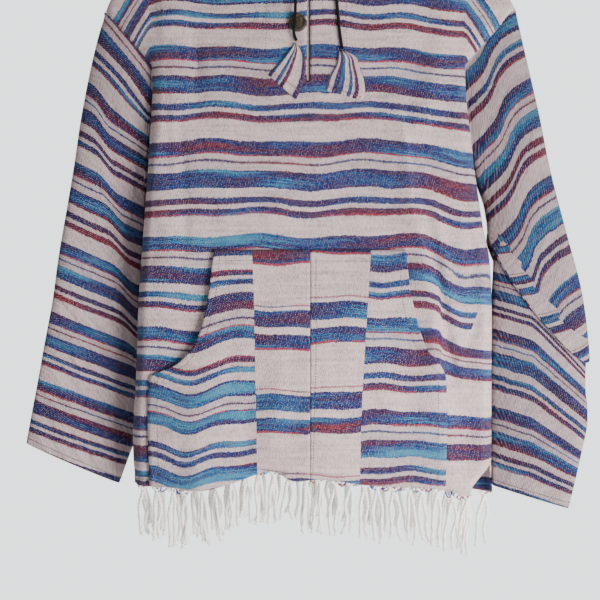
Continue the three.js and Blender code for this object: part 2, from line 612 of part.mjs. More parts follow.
// One section of the hood, from the neck seam to the face edge
function hoodSection(left, q) {
  const seam = neckSeam(left, q);
  const turn = smoothstep(q, 0.1, 0.95) * Math.PI;
  const away = vec((left ? -1 : 1) * Math.sin(turn), -Math.cos(turn), 0);
  const c = (name) => at(HOOD, 'q', q, name);
  const place = (out, up) => seam.clone().addScaledVector(away, out).add(vec(0, 0, up));
  const collar = Array.from({ length: 6 }, (_, k) => place(c('reach') * (k / 5) ** 1.6, c('rise') * (k / 5)));
  const bag = [
    place(0, 0), place(HOOD_ROLL * 0.45, 12), place(HOOD_ROLL + 2, -c('drop') * 0.45),
    place((HOOD_ROLL + c('reach')) / 2, -c('drop')), place(c('reach'), -c('drop') * 0.45),
    place(c('reach') * 0.97, c('rise')),
  ];
  const control = collar.map((p, k) => mix(p, bag[k], clamp(c('bag'), 0, 1)));
  const curve = new THREE.CatmullRomCurve3(control, false, 'centripetal');
  const section = Array.from({ length: HOOD_STEPS + 1 }, (_, k) => curve.getPoint(k / HOOD_STEPS));
  if (q === 1) section.forEach((p) => { p.x = seam.x; });
  return section;
}

function hoodHalf(left) {
  const sections = Array.from({ length: HOOD_STATIONS + 1 }, (_, k) => hoodSection(left, k / HOOD_STATIONS));
  const inner = innerFace(sections, CLOTH, false, left ? 1 : -1);
  const seamSign = left ? -1 : 1;
  inner[HOOD_STATIONS].forEach((p) => { p.x = seamSign * HALF_GAP; });
  return clothWall(sections, inner);
}

// ---------------------------------------------------------------- pocket and facing
const POCKET_COLUMNS = 8;
const POCKET_ROWS = 10;

function pocketHalf(left) {
  const table = left ? POCKET_LEFT_EDGE : POCKET_RIGHT_EDGE;
  const seam = POCKET_SEAM + (left ? -HALF_GAP : HALF_GAP);
  const outer = Array.from({ length: POCKET_ROWS + 1 }, (_, i) => {
    const v = i / POCKET_ROWS;
    return Array.from({ length: POCKET_COLUMNS + 1 }, (__, j) => {
      const u = j / POCKET_COLUMNS;
      const guess = lerp(seam, at(table, 'z', lerp(POCKET_TOP, -815, v), 'x'), u);
      const centre = Math.exp(-(((guess + 32) / 34) ** 2));
      const hem = at(FRONT_HEM, 'x', guess, 'z') - POCKET_HEM_DROP * centre + 1;
      const z = lerp(POCKET_TOP, hem, v);
      const x = lerp(seam, at(table, 'z', z, 'x'), u);
      const sewn = smoothstep(-z, 640, 672);
      const edge = 1 - sewn * u ** 5 - (1 - sewn) * 0.2 * u ** 2;
      const bulge = POCKET_BULGE * Math.sin(Math.PI * clamp(v, 0.001, 0.999)) ** 0.6 * edge + v ** 4;
      return frontPoint(x, z, CLOTH + POCKET_GAP + bulge);
    });
  });
  return clothWall(outer, innerFace(outer, CLOTH, false, left ? 1 : -1));
}

function placketFacing() {
  const columns = [FACING_LEFT, -38, -18, FACING_SLIT_LEFT, FACING_SLIT_RIGHT, 20, 37, FACING_RIGHT];
  const slitCell = 3;
  const levels = [0, 0.2, 0.45, 0.7, 1];
  const neck = (x) => NECK_TOP - FRONT_NECK_DROP * (1 - (x / NECK_HALF) ** 2) - FACING_NECK_INSET;
  const rows = levels.map((t) => columns.map((x) => frontPoint(x, lerp(neck(x), SLIT_END, t), -CLOTH - LAID_GAP)));
  rows.push(columns.map((x) => frontPoint(x, FACING_END, -CLOTH - LAID_GAP)));
  const inner = innerFace(rows, FACING_CLOTH, false, -1);
  return clothWall(rows, inner, false, (i, j) => !(j === slitCell && i < levels.length - 1));
}

// ---------------------------------------------------------------- button, cords and tabs
const wasm = await Module();
wasm.setup();

function solidOf(geometry) {
  const bare = geometry.clone();
  bare.deleteAttribute('normal');
  bare.deleteAttribute('uv');
  const merged = mergeVertices(bare, 1e-5);
  return new wasm.Manifold(new wasm.Mesh({
    numProp: 3,
    vertProperties: new Float32Array(merged.attributes.position.array),
    triVerts: new Uint32Array(merged.index.array),
  }));
}

function geometryFrom(solid) {
  const mesh = solid.getMesh();
  const geometry = new THREE.BufferGeometry();
  geometry.setAttribute('position', new THREE.BufferAttribute(new Float32Array(mesh.vertProperties), 3));
  geometry.setIndex(new THREE.BufferAttribute(new Uint32Array(mesh.triVerts), 1));
  geometry.computeVertexNormals();
  return geometry;
}

const BUTTON_BACK = clothDepth('front', BUTTON_X, BUTTON_Z) + LAID_GAP;

// A dished disc with four thread holes, facing the viewer
function button() {
  const profile = [[0, 0], [BUTTON_RADIUS - 1, 0], [BUTTON_RADIUS, 1.4], [BUTTON_RADIUS - 0.8, BUTTON_THICKNESS - 0.4],
    [BUTTON_RADIUS - 2.4, BUTTON_THICKNESS], [BUTTON_RADIUS - 4, BUTTON_THICKNESS - 1.2], [0, BUTTON_THICKNESS - 1.2]];
  const disc = new THREE.LatheGeometry(profile.map(([r, h]) => new THREE.Vector2(r, h)), 20);
  let solid = solidOf(disc);
  for (let k = 0; k < 4; k += 1) {
    const angle = Math.PI / 4 + k * Math.PI / 2;
    const hole = new THREE.CylinderGeometry(BUTTON_HOLE_RADIUS, BUTTON_HOLE_RADIUS, 3 * BUTTON_THICKNESS, 6);
    hole.translate(Math.cos(angle) * BUTTON_HOLE_SPREAD, 0, Math.sin(angle) * BUTTON_HOLE_SPREAD);
    solid = solid.subtract(solidOf(hole));
  }
  const geometry = geometryFrom(solid);
  geometry.rotateX(Math.PI);
  geometry.translate(BUTTON_X, -BUTTON_BACK, BUTTON_Z);
  return geometry;
}

// Depth at which a cord lies on the front, its centre line a radius off the cloth
const onFront = (x, z, extra = 0) => vec(x, -clothDepth('front', x, z) - LAID_GAP - CORD_RADIUS - extra, z);

// Eyelets of the drawstring's casing, on the face of the hood's two front edges
const EYELET_LEFT = hoodSection(true, 0.035)[5].add(vec(0, -CASING_CLEARANCE, 0));
const EYELET_RIGHT = hoodSection(false, 0.11)[5].add(vec(0, -CASING_CLEARANCE, 0));
const fromEyelet = (eyelet, x, out, down) => eyelet.clone().add(vec(x, -out, -down));
const buttonLift = BUTTON_THICKNESS + 1;
const CORD_LEFT = [
  EYELET_LEFT, fromEyelet(EYELET_LEFT, 0, 5, 0.6), fromEyelet(EYELET_LEFT, 0, 10, 5),
  fromEyelet(EYELET_LEFT, 0.2, 11.5, 14), onFront(-16.9, -155, 6), onFront(-17, -172, buttonLift),
  onFront(-18, -195, buttonLift), onFront(-19.3, -207, buttonLift - 1), onFront(-18, -214, 2), onFront(-15.4, -220, 1),
];
const CORD_RIGHT = [
  EYELET_RIGHT, fromEyelet(EYELET_RIGHT, 0, 5, 0.6), fromEyelet(EYELET_RIGHT, 0.3, 10, 5),
  fromEyelet(EYELET_RIGHT, 0.8, 11.5, 14), onFront(37, -150, 5), onFront(39, -165, 1), onFront(41, -185),
  onFront(42.4, -203), onFront(44.6, -219), onFront(46.4, -231, 1),
];

function cord(points) {
  const path = new THREE.CatmullRomCurve3(points, false, 'centripetal');
  const section = new THREE.Shape();
  for (let k = 0; k < 8; k += 1) {
    const angle = k * Math.PI / 4;
    const [x, y] = [CORD_RADIUS * Math.cos(angle), CORD_RADIUS * Math.sin(angle)];
    if (k === 0) section.moveTo(x, y);
    else section.lineTo(x, y);
  }
  section.closePath();
  return new THREE.ExtrudeGeometry(section, { steps: 20, extrudePath: path });
}

// Folded squares of cloth, sewn over the ends of the drawstring, lying on the front
const TAB_LEFT = [
  { x: -16, z: -222.6 }, { x: -9.5, z: -230 }, { x: -4, z: -242 }, { x: -2.7, z: -257 }, { x: -5.4, z: -276 },
  { x: -16.2, z: -300 }, { x: -54, z: -266 }, { x: -34, z: -243 }, { x: -22, z: -229 },
];
const TAB_RIGHT = [
  { x: 42, z: -233.5 }, { x: 51, z: -233.5 }, { x: 64.8, z: -241 }, { x: 69, z: -253 }, { x: 75.6, z: -273 },
  { x: 77, z: -293 }, { x: 74, z: -301 }, { x: 23, z: -287 }, { x: 29.7, z: -266 }, { x: 37.8, z: -253 },
];

function tab(outline) {
  const shape = new THREE.Shape(outline.map((p) => new THREE.Vector2(p.x, p.z)));
  const bevel = 1.2;
  const geometry = new THREE.ExtrudeGeometry(shape, {
    depth: TAB_THICKNESS - 2 * bevel, bevelEnabled: true, bevelThickness: bevel, bevelSize: bevel,
    bevelOffset: -bevel, bevelSegments: 1, steps: 1,
  });
  const position = geometry.attributes.position;
  for (let k = 0; k < position.count; k += 1) {
    const [x, z, out] = [position.getX(k), position.getY(k), position.getZ(k) + bevel];
    const point = frontPoint(x, z, LAID_GAP + out);
    position.setXYZ(k, point.x, point.y, point.z);
  }
  geometry.computeVertexNormals();
  return geometry;
}

// ---------------------------------------------------------------- fringe
// A narrow strip under the hem, with two strands from each knot
function fringe(panelPiece, knots, face) {
  const lastRow = panelPiece.outer.length - 1;
  const lowered = (grid, amount) => grid[lastRow].map((p) => p.clone().add(vec(0, 0, -amount)));
  const strip = clothWall(
    [lowered(panelPiece.outer, SEAM_GAP), lowered(panelPiece.outer, SEAM_GAP + FRINGE_STRIP)],
    [lowered(panelPiece.inner, SEAM_GAP), lowered(panelPiece.inner, SEAM_GAP + FRINGE_STRIP)],
  );
  const hem = new THREE.CatmullRomCurve3(lowered(panelPiece.outer, SEAM_GAP + FRINGE_STRIP * 0.6)
    .map((p, k) => mix(p, lowered(panelPiece.inner, SEAM_GAP + FRINGE_STRIP * 0.6)[k], 0.5)), false, 'catmullrom', 0.01);
  let solid = solidOf(strip);
  const away = face === 'front' ? -1 : 1;
  for (let k = 0; k < knots; k += 1) {
    const share = (k + 0.5) / knots;
    const root = hem.getPointAt(lerp(0.012, 0.988, share));
    const sway = 9 * Math.sin(share * 11 + away) + 4 * Math.sin(share * 37);
    for (const branch of [-1, 1]) {
      const wobble = Math.sin(12.9 * k + 4.7 * branch + away);
      const length = 62 + 20 * share * (face === 'front' ? 1 : 0.5) + 9 * wobble;
      solid = solid.add(solidOf(strand(root, branch, sway, away, length, wobble)));
    }
  }
  return geometryFrom(solid);
}

function strand(root, branch, sway, away, length, wobble) {
  const stations = [
    { down: 0, side: 1.9 * branch, out: 0, size: 1 },
    { down: 0.45, side: 3.6 * branch + sway * 0.3 + wobble * 0.6, out: away * 2, size: 0.9 },
    { down: 1, side: 3.4 * branch + sway + wobble * 0.8, out: -away * 3, size: 0.45 },
  ];
  const points = [];
  stations.forEach((s) => {
    for (let n = 0; n < 3; n += 1) {
      const angle = n * 2 * Math.PI / 3 + 0.4;
      const r = STRAND_RADIUS * s.size;
      points.push(vec(root.x + s.side + r * Math.cos(angle), root.y + s.out + r * Math.sin(angle) * 0.8,
        root.z - s.down * length));
    }
  });
  const triangles = [0, 2, 1, 6, 7, 8];
  for (const base of [0, 3]) {
    for (let n = 0; n < 3; n += 1) {
      const m = (n + 1) % 3;
      triangles.push(base + n, base + m, base + 3 + m, base + n, base + 3 + m, base + 3 + n);
    }
  }
  return geometryOf(points, triangles);
}

// ---------------------------------------------------------------- hanger
function hangerArms() {
  const under = (x) => shoulderLine(x) - CLOTH - ARM_CLEARANCE;
  const shape = new THREE.Shape();
  const topSide = [
    [-HANGER_HALF, under(HANGER_HALF) - 4], [-HANGER_HALF + 5, under(HANGER_HALF - 5)],
    [-NECK_HALF - 15, under(NECK_HALF + 15) - 2], [-NECK_HALF + 8, under(0) - 2], [-NECK_HALF + 30, under(0) + 6],
    [-14, HANGER_MIDDLE],
  ];
  const bottomSide = [
    [0, HANGER_MIDDLE - HANGER_DEEP], [NECK_HALF, under(NECK_HALF) - HANGER_DEEP + 3],
    [HANGER_HALF - 10, under(HANGER_HALF) - HANGER_TIP_DEEP], [HANGER_HALF, under(HANGER_HALF) - HANGER_TIP_DEEP + 3],
  ];
  const mirrored = (points) => points.map(([x, z]) => [-x, z]).reverse();
  const outline = [...topSide, ...mirrored(topSide), ...[...bottomSide].reverse(), ...mirrored(bottomSide).reverse().slice(1)];
  outline.forEach(([x, z], k) => (k ? shape.lineTo(x, z) : shape.moveTo(x, z)));
  const bevel = HANGER_ROUNDING;
  const depth = 2 * (HANGER_HALF_THICKNESS - bevel);
  const geometry = new THREE.ExtrudeGeometry(shape, {
    depth, bevelEnabled: true, bevelThickness: bevel, bevelSize: bevel, bevelOffset: -bevel, bevelSegments: 2, steps: 1,
  });
  geometry.rotateX(Math.PI / 2);
  geometry.translate(0, depth / 2, 0);
  return geometry;
}

// The wire hook: a straight shank, then a curve round the rail
function hangerHook() {
  const centre = vec(0, 0, -HOOK_RADIUS + HOOK_WIRE);
  const turn = (degrees) => {
    const a = degrees * Math.PI / 180;
    return centre.clone().add(vec(HOOK_RADIUS * Math.cos(a), 0, HOOK_RADIUS * Math.sin(a)));
  };
  const points = [vec(0, 0, HANGER_MIDDLE + SEAM_GAP), vec(0, 0, HANGER_MIDDLE + 10), vec(3, 0, HANGER_MIDDLE + 17)];
  for (let degrees = -50; degrees <= 190; degrees += 20) points.push(turn(degrees));
  const path = new THREE.CatmullRomCurve3(points, false, 'centripetal');
  const section = new THREE.Shape();
  section.absarc(0, 0, HOOK_WIRE, 0, 2 * Math.PI, false);
  return new THREE.ExtrudeGeometry(section, { steps: 30, curveSegments: 4, extrudePath: path });
}

// ---------------------------------------------------------------- the garment
const poncho = new THREE.Group();

function add(name, geometry, color, roughness = 0.95, metalness = 0) {
  const mesh = new THREE.Mesh(geometry, new THREE.MeshStandardMaterial({ color, roughness, metalness }));
  mesh.name = name;
  poncho.add(mesh);
}

const WOVEN = 0xa79bb0;
add('front_panel', clothWall(front.outer, front.inner, false, frontKeep), WOVEN);
add('back_panel', clothWall(back.outer, back.inner), 0x9a8fa6);
add('sleeve_left', sleeveLeft(), 0x7f7fae);
add('sleeve_right', sleeveRight(), 0x7f7fae);
add('hood_left', hoodHalf(true), 0xb5a9b8);
add('hood_right', hoodHalf(false), 0xb5a9b8);
add('pocket_left', pocketHalf(true), 0xc9bcbc);
add('pocket_right', pocketHalf(false), 0x6f8fb8);
add('placket_facing', placketFacing(), 0xd2c6cc);
add('button', button(), 0x4b412d, 0.5);
add('cord_left', cord(CORD_LEFT), 0x17161a);
add('cord_right', cord(CORD_RIGHT), 0x17161a);
add('tab_left', tab(TAB_LEFT), 0xdcd2d0);
add('tab_right', tab(TAB_RIGHT), 0xdcd2d0);
add('fringe_front', fringe(front, FRONT_KNOTS, 'front'), 0xebe8e3);
add('fringe_back', fringe(back, BACK_KNOTS, 'back'), 0xebe8e3);
add('hanger_arms', hangerArms(), 0xb08c5c, 0.6);
add('hanger_hook', hangerHook(), 0xb9bcc0, 0.3, 1);

export default poncho;
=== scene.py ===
# A hooded, fringed pullover of hand-woven striped cloth, hanging on a plain wooden hanger.
import math
import bmesh
import bpy
import numpy as np
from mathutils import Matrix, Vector


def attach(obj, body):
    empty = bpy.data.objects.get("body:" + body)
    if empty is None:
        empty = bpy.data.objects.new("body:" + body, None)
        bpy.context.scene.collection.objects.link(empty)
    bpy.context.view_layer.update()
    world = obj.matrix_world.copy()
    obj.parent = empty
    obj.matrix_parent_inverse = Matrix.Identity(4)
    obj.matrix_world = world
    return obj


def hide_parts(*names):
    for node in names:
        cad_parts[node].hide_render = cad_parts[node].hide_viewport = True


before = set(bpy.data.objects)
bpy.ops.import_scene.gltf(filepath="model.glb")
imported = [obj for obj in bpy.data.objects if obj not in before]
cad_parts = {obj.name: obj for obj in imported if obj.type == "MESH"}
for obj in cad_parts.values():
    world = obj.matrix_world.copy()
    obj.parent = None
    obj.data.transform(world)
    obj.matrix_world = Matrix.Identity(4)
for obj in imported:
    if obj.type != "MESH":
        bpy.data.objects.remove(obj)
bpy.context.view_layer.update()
MM = 0.001


# ---------------------------------------------------------------- viewpoint
# The garment is seen level and square on, from a little over a step and a half away, so that its
# sleeves reach almost from side to side of the frame and its neck lies above it.
VIEW_PLACE = (-0.0108, -1.63, -0.570)
VIEW_ANGLE = 28.4

view_data = bpy.data.cameras.new("viewpoint")
view_data.angle = math.radians(VIEW_ANGLE)
viewpoint = bpy.data.objects.new("viewpoint", view_data)
viewpoint.location = VIEW_PLACE
viewpoint.rotation_euler = (math.pi / 2, 0, 0)
bpy.context.collection.objects.link(viewpoint)
bpy.context.scene.camera = viewpoint


# ---------------------------------------------------------------- drawstring
# Round braided cotton cord, dyed black. Each end comes out of the hood's casing, hangs over the
# chest and goes into a folded tab of cloth that is sewn over it.
CORD_RADIUS = 2
CORD_SIDES = 16
CORD_STATIONS = 90
# painted shade and light on the braid: darker between the plaits, lighter on their tops
CORD_PAINTED_SHADE = (5, 5, 6)
CORD_PAINTED_LIGHT = (22, 21, 25)
BRAID_ROUND = 4                  # plaits round the cord
BRAID_STEP = 0.0034              # length of one plait, in metres as the UV map has it
BRAID_RELIEF = 0.0006
CORD_ROUTES = {
    "drawstring_left": [
        (-17.2, -19.6, -120.9), (-17.2, -24.6, -121.5), (-17.2, -29.6, -125.9), (-17.0, -31.1, -134.9),
        (-16.9, -30.1, -155.0), (-17.0, -30.8, -172.0), (-18.0, -32.2, -195.0), (-19.3, -31.7, -207.0),
        (-18.0, -30.1, -214.0), (-15.4, -29.4, -220.0)],
    "drawstring_right": [
        (34.2, -19.0, -115.4), (34.2, -24.0, -116.0), (34.5, -29.0, -120.4), (35.0, -30.5, -129.4),
        (37.0, -27.2, -150.0), (39.0, -24.9, -165.0), (41.0, -25.3, -185.0), (42.4, -26.4, -203.0),
        (44.6, -27.2, -219.0), (46.4, -28.8, -231.0)],
}


def spline(points, shares):
    """Places along a smooth curve through the points; shares run from 0 to 1."""
    p = np.asarray(points, float)
    p = np.vstack([2 * p[0] - p[1], p, 2 * p[-1] - p[-2]])
    place = np.clip(np.asarray(shares, float), 0, 1) * (len(p) - 3)
    i = np.minimum(place.astype(int), len(p) - 4)
    t = (place - i)[:, None]
    p0, p1, p2, p3 = (p[i + k] for k in range(4))
    steps = [np.maximum(np.linalg.norm(b - a, axis=1, keepdims=True), 1e-6) ** 0.5
             for a, b in ((p0, p1), (p1, p2), (p2, p3))]
    d0, d1, d2 = steps
    m1 = ((p1 - p0) / d0 - (p2 - p0) / (d0 + d1) + (p2 - p1) / d1) * d1
    m2 = ((p2 - p1) / d1 - (p3 - p1) / (d1 + d2) + (p3 - p2) / d2) * d1
    t2, t3 = t * t, t * t * t
    return (2 * t3 - 3 * t2 + 1) * p1 + (t3 - 2 * t2 + t) * m1 + (3 * t2 - 2 * t3) * p2 + (t3 - t2) * m2


def run_along(path):
    """Length from the start of a path to each of its places."""
    return np.concatenate([[0], np.cumsum(np.linalg.norm(np.diff(path, axis=0), axis=1))])


def new_piece(name, bm, material):
    """Makes an object of a finished bmesh in millimetres; it belongs to the garment's only body."""
    bmesh.ops.scale(bm, vec=(MM, MM, MM), verts=bm.verts)
    mesh = bpy.data.meshes.new(name)
    bm.to_mesh(mesh)
    bm.free()
    piece = bpy.data.objects.new(name, mesh)
    bpy.context.collection.objects.link(piece)
    mesh.materials.append(material)
    for polygon in mesh.polygons:
        polygon.use_smooth = True
    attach(piece, "root")
    return piece


def tube(bm, path, radii, sides):
    """A closed tube along a path of places, with its length in the v of its UV map and its turn in u."""
    path = np.asarray(path, float)
    radii = np.broadcast_to(radii, len(path))
    along = np.gradient(path, axis=0)
    along /= np.linalg.norm(along, axis=1, keepdims=True)
    side = np.cross(along, (0.31, -0.9, 0.3))
    side /= np.linalg.norm(side, axis=1, keepdims=True)
    up = np.cross(side, along)
    length = run_along(path)
    angles = np.arange(sides) * 2 * math.pi / sides
    uv = bm.loops.layers.uv.get("cloth") or bm.loops.layers.uv.new("cloth")
    rings = []
    for k, centre in enumerate(path):
        rings.append([bm.verts.new(centre + radii[k] * (math.cos(a) * side[k] + math.sin(a) * up[k]))
                      for a in angles])
    for k in range(len(rings) - 1):
        for n in range(sides):
            m = (n + 1) % sides
            face = bm.faces.new((rings[k][n], rings[k][m], rings[k + 1][m], rings[k + 1][n]))
            corners = ((n, k), (n + 1, k), (n + 1, k + 1), (n, k + 1))
            for loop, (turn, row) in zip(face.loops, corners):
                loop[uv].uv = (turn / sides, length[row] * MM)
    bm.faces.new(rings[0][::-1])
    bm.faces.new(rings[-1])


def node(tree, kind, place=(0, 0), **values):
    """Adds a shader node and sets its properties and unlinked inputs."""
    made = tree.nodes.new(kind)
    made.location = place
    for name, value in values.items():
        if hasattr(made, name):
            setattr(made, name, value)
        else:
            made.inputs[name.replace("_", " ")].default_value = value
    return made


def maths(tree, operation, first, second=0.0, clamp=False):
    """A Math node on two sockets or numbers; returns its output."""
    made = tree.nodes.new("ShaderNodeMath")
    made.operation = operation
    made.use_clamp = clamp
    for socket, value in zip(made.inputs, (first, second)):
        if isinstance(value, bpy.types.NodeSocket):
            tree.links.new(value, socket)
        else:
            socket.default_value = value
    return made.outputs[0]


def blended(tree, factor, first, second, kind="MIX"):
    """A colour mix of two sockets or colours; returns its output."""
    made = tree.nodes.new("ShaderNodeMix")
    made.data_type = "RGBA"
    made.blend_type = kind
    made.clamp_factor = True
    for socket, value in ((made.inputs[0], factor), (made.inputs[6], first), (made.inputs[7], second)):
        if isinstance(value, bpy.types.NodeSocket):
            tree.links.new(value, socket)
        else:
            socket.default_value = value
    return made.outputs[2]


def tone(red, green, blue):
    """A colour given in screen values from 0 to 255, as the shader wants it."""
    def linear(c):
        c /= 255
        return c / 12.92 if c <= 0.04045 else ((c + 0.055) / 1.055) ** 2.4
    return (linear(red), linear(green), linear(blue), 1.0)


def new_material(name, roughness):
    """A material, its node tree and its Principled shader."""
    material = bpy.data.materials.new(name)
    material.use_nodes = True
    tree = material.node_tree
    shader = tree.nodes["Principled BSDF"]
    shader.inputs["Roughness"].default_value = roughness
    return material, tree, shader


def add_bump(tree, shader, height, distance, strength=1.0):
    """Feeds a height into the shader's normal."""
    bump = node(tree, "ShaderNodeBump", (-200, -300))
    bump.inputs["Strength"].default_value = strength
    bump.inputs["Distance"].default_value = distance
    tree.links.new(height, bump.inputs["Height"])
    tree.links.new(bump.outputs[0], shader.inputs["Normal"])


braid, tree, shader = new_material("braided_black_cotton", 0.85)
shader.inputs["Specular IOR Level"].default_value = 0.2
cord_uv = node(tree, "ShaderNodeUVMap", (-1000, 0), uv_map="cloth")
split = node(tree, "ShaderNodeSeparateXYZ", (-850, 0))
tree.links.new(cord_uv.outputs[0], split.inputs[0])
turns = maths(tree, "MULTIPLY", split.outputs[0], 2 * math.pi * BRAID_ROUND)
runs = maths(tree, "MULTIPLY", split.outputs[1], 2 * math.pi / BRAID_STEP)
plait = maths(tree, "MULTIPLY", maths(tree, "SINE", maths(tree, "ADD", turns, runs)),
              maths(tree, "SINE", maths(tree, "SUBTRACT", turns, runs)))
plait = maths(tree, "MULTIPLY_ADD", plait, 0.5)
plait.node.inputs[2].default_value = 0.5
# the plait's height also paints the cord darker in its grooves and lighter on its plaits
tree.links.new(blended(tree, plait, tone(*CORD_PAINTED_SHADE), tone(*CORD_PAINTED_LIGHT)), shader.inputs["Base Color"])
add_bump(tree, shader, plait, BRAID_RELIEF)

cord_pieces = {}
for name, route in CORD_ROUTES.items():
    bm = bmesh.new()
    path = spline(route, np.linspace(0, 1, CORD_STATIONS))
    tube(bm, path, CORD_RADIUS, CORD_SIDES)
    cord_pieces[name] = (new_piece(name, bm, braid), path)


# ---------------------------------------------------------------- woven cloth
# Heavy plain-and-twill cotton: natural weft with repeated bands of space-dyed yarn.
# One repeat is two wide bands with a thin line between them, then two narrow stripes.
REPEAT = 128
# start of each colour in one repeat (mm): strength of the dye, shift of its hue, red thread
WOVEN_CHART = [
    (0, 1.0, 0.08, 0.0), (18.8, 1.0, -0.1, 1.0), (21.0, 0.2, 0.0, 0.0),
    (28.2, 0.95, -0.12, 0.0), (31.2, 0.2, 0.0, 0.0),
    (41.0, 1.0, 0.05, 0.0), (62.0, 1.0, -0.12, 0.0), (65.0, 0.1, 0.0, 0.0),
    (77.2, 1.0, 0.0, 0.0), (86.2, 0.14, 0.0, 0.0),
    (92.0, 1.0, -0.1, 0.0), (99.0, 1.0, -0.16, 0.6), (101.8, 0.03, 0.0, 0.0),
]
# the two middle widths of the pocket come from another loom length: only pairs of bands
PAIRED_LENGTH = 116
PAIRED_CHART = [
    (0, 1.0, 0.1, 0.0), (23.0, 0.0, 0.0, 0.0), (33.0, 1.0, 0.0, 0.0), (51.0, 1.0, -0.2, 1.0),
    (54.0, 0.0, 0.0, 0.0), (108.8, 0.8, -0.2, 1.0), (111.0, 0.0, 0.0, 0.0),
]
EDGE_BLUR = 0.0035               # share of a repeat over which a band's edge softens
# place of each colour of the space-dyed yarn on its ramp
YARNS = [(0.0, (106, 20, 40)), (0.14, (76, 17, 46)), (0.3, (48, 21, 66)), (0.48, (24, 22, 72)),
         (0.66, (12, 36, 95)), (0.85, (12, 76, 120)), (1.0, (46, 115, 142))]
CREAM = (209, 189, 186)
CREAM_DIM = (134, 108, 112)
CREAM_WARM = (216, 191, 186)
RED_YARN = (140, 42, 62)
RED_BREAK = 0.44                 # the red yarn shows where its noise is above this
PAINTED_SHADE_TONE = (84, 84, 104)        # painted shade: what the colours are multiplied by at a depth of one
# each noise of the cloth: scale along the weft and the warp, detail and seed
CLOTH_NOISE = {
    "wobble": (19, 30, 3.0, 0.0), "serration": (520, 260, 1.0, 0.0), "grains": (210, 420, 1.0, 1.3),
    "red_bits": (14, 120, 1.0, 5.5), "fleck": (420, 760, 2.0, 2.2), "ribs": (560, 240, 2.0, 6.4),
    "slubs": (14, 210, 3.0, 7.7), "warmth": (4, 95, 2.0, 9.1), "swells": (17, 13, 2.0, 4.4)}
DRIFT_NOISE = (7.5, 7.0, 1.0, 3.7)
PICK_NOISE = (13.0, 84.0, 2.0, 8.1)
WOBBLE = 0.04                    # shares of a repeat by which a band wanders and its edge steps
SERRATION = 0.036
HUE_MIDDLE = 0.54
HUE_SWING = {"drift": 2.1, "picks": 1.5, "grains": 0.28}
TWILL = 0.0029                   # metres from one slanting row to the next
DOT_STRENGTH = 0.8
FLECK_SWING = 2.5
DOT_LEAST = 0.38
DOT_GAIN = 2.1
DOT_COVER = 0.74
DOT_YARN = 0.3                   # share of the dyed yarn in the colour of a pale dot
SHADE = {"ribs": 0.65, "slubs": 0.55, "dots": 0.16}
SHADE_LEAST = 0.46
SHADE_GAIN = 1.9
RELIEF = {"dots": 0.25, "ribs": 0.5, "slubs": 0.4, "swells": 9.0}
WEAVE_RELIEF = 0.0012
WEAVE_STRENGTH = 0.8

weave = bpy.data.node_groups.new("woven_stripes", "ShaderNodeTree")
for name in ("Dye", "Shift", "Depth"):
    weave.interface.new_socket(name, in_out="INPUT", socket_type="NodeSocketFloat")
for name, kind in (("Color", "NodeSocketColor"), ("Height", "NodeSocketFloat")):
    weave.interface.new_socket(name, in_out="OUTPUT", socket_type=kind)
group_in = node(weave, "NodeGroupInput", (-1600, 0))
group_out = node(weave, "NodeGroupOutput", (1400, 0))
cloth_uv = node(weave, "ShaderNodeUVMap", (-1600, 200), uv_map="cloth")
stripe_uv = node(weave, "ShaderNodeUVMap", (-1600, -200), uv_map="stripes")
cloth_xy = node(weave, "ShaderNodeSeparateXYZ", (-1400, 200))
stripe_xy = node(weave, "ShaderNodeSeparateXYZ", (-1400, -200))
weave.links.new(cloth_uv.outputs[0], cloth_xy.inputs[0])
weave.links.new(stripe_uv.outputs[0], stripe_xy.inputs[0])
cloth_u, cloth_v = cloth_xy.outputs[0], cloth_xy.outputs[1]


def streaks(tree, u, v, u_scale, v_scale, detail, seed=0.0):
    """Noise stretched along the weft or the warp; returns its value socket."""
    joined = node(tree, "ShaderNodeCombineXYZ")
    tree.links.new(maths(tree, "MULTIPLY", u, u_scale), joined.inputs[0])
    tree.links.new(maths(tree, "MULTIPLY", v, v_scale), joined.inputs[1])
    joined.inputs[2].default_value = seed
    made = node(tree, "ShaderNodeTexNoise")
    made.inputs["Scale"].default_value = 1.0
    made.inputs["Detail"].default_value = detail
    tree.links.new(joined.outputs[0], made.inputs["Vector"])
    return made.outputs["Fac"]


def swing(tree, noise, reach):
    """A noise's swing about its middle, made as large as wanted."""
    return maths(tree, "MULTIPLY", maths(tree, "SUBTRACT", noise, 0.5), reach)


def total(tree, *values):
    """The sum of several sockets or numbers."""
    result = values[0]
    for value in values[1:]:
        result = maths(tree, "ADD", result, value)
    return result


def chart_ramp(tree, chart, length, position):
    """A colour ramp that reads one repeat of a chart: red is dye, green is hue, blue is red thread."""
    ramp = node(tree, "ShaderNodeValToRGB")
    tree.links.new(position, ramp.inputs[0])
    stops = ramp.color_ramp
    rows = [(start / length, dye, hue + 0.5, red) for start, dye, hue, red in chart]
    places = []
    for k, (start, *values) in enumerate(rows):
        before = rows[k - 1][1:]
        if start > 0:
            places.append((start - EDGE_BLUR, before))
        places.append((start, tuple(values)))
    places.append((1.0 - EDGE_BLUR, rows[-1][1:]))
    places.append((1.0, rows[0][1:]))
    while len(stops.elements) < len(places):
        stops.elements.new(1.0)
    for element, (start, values) in zip(stops.elements, places):
        element.position = start
        element.color = (*values, 1.0)
    return ramp.outputs["Color"]


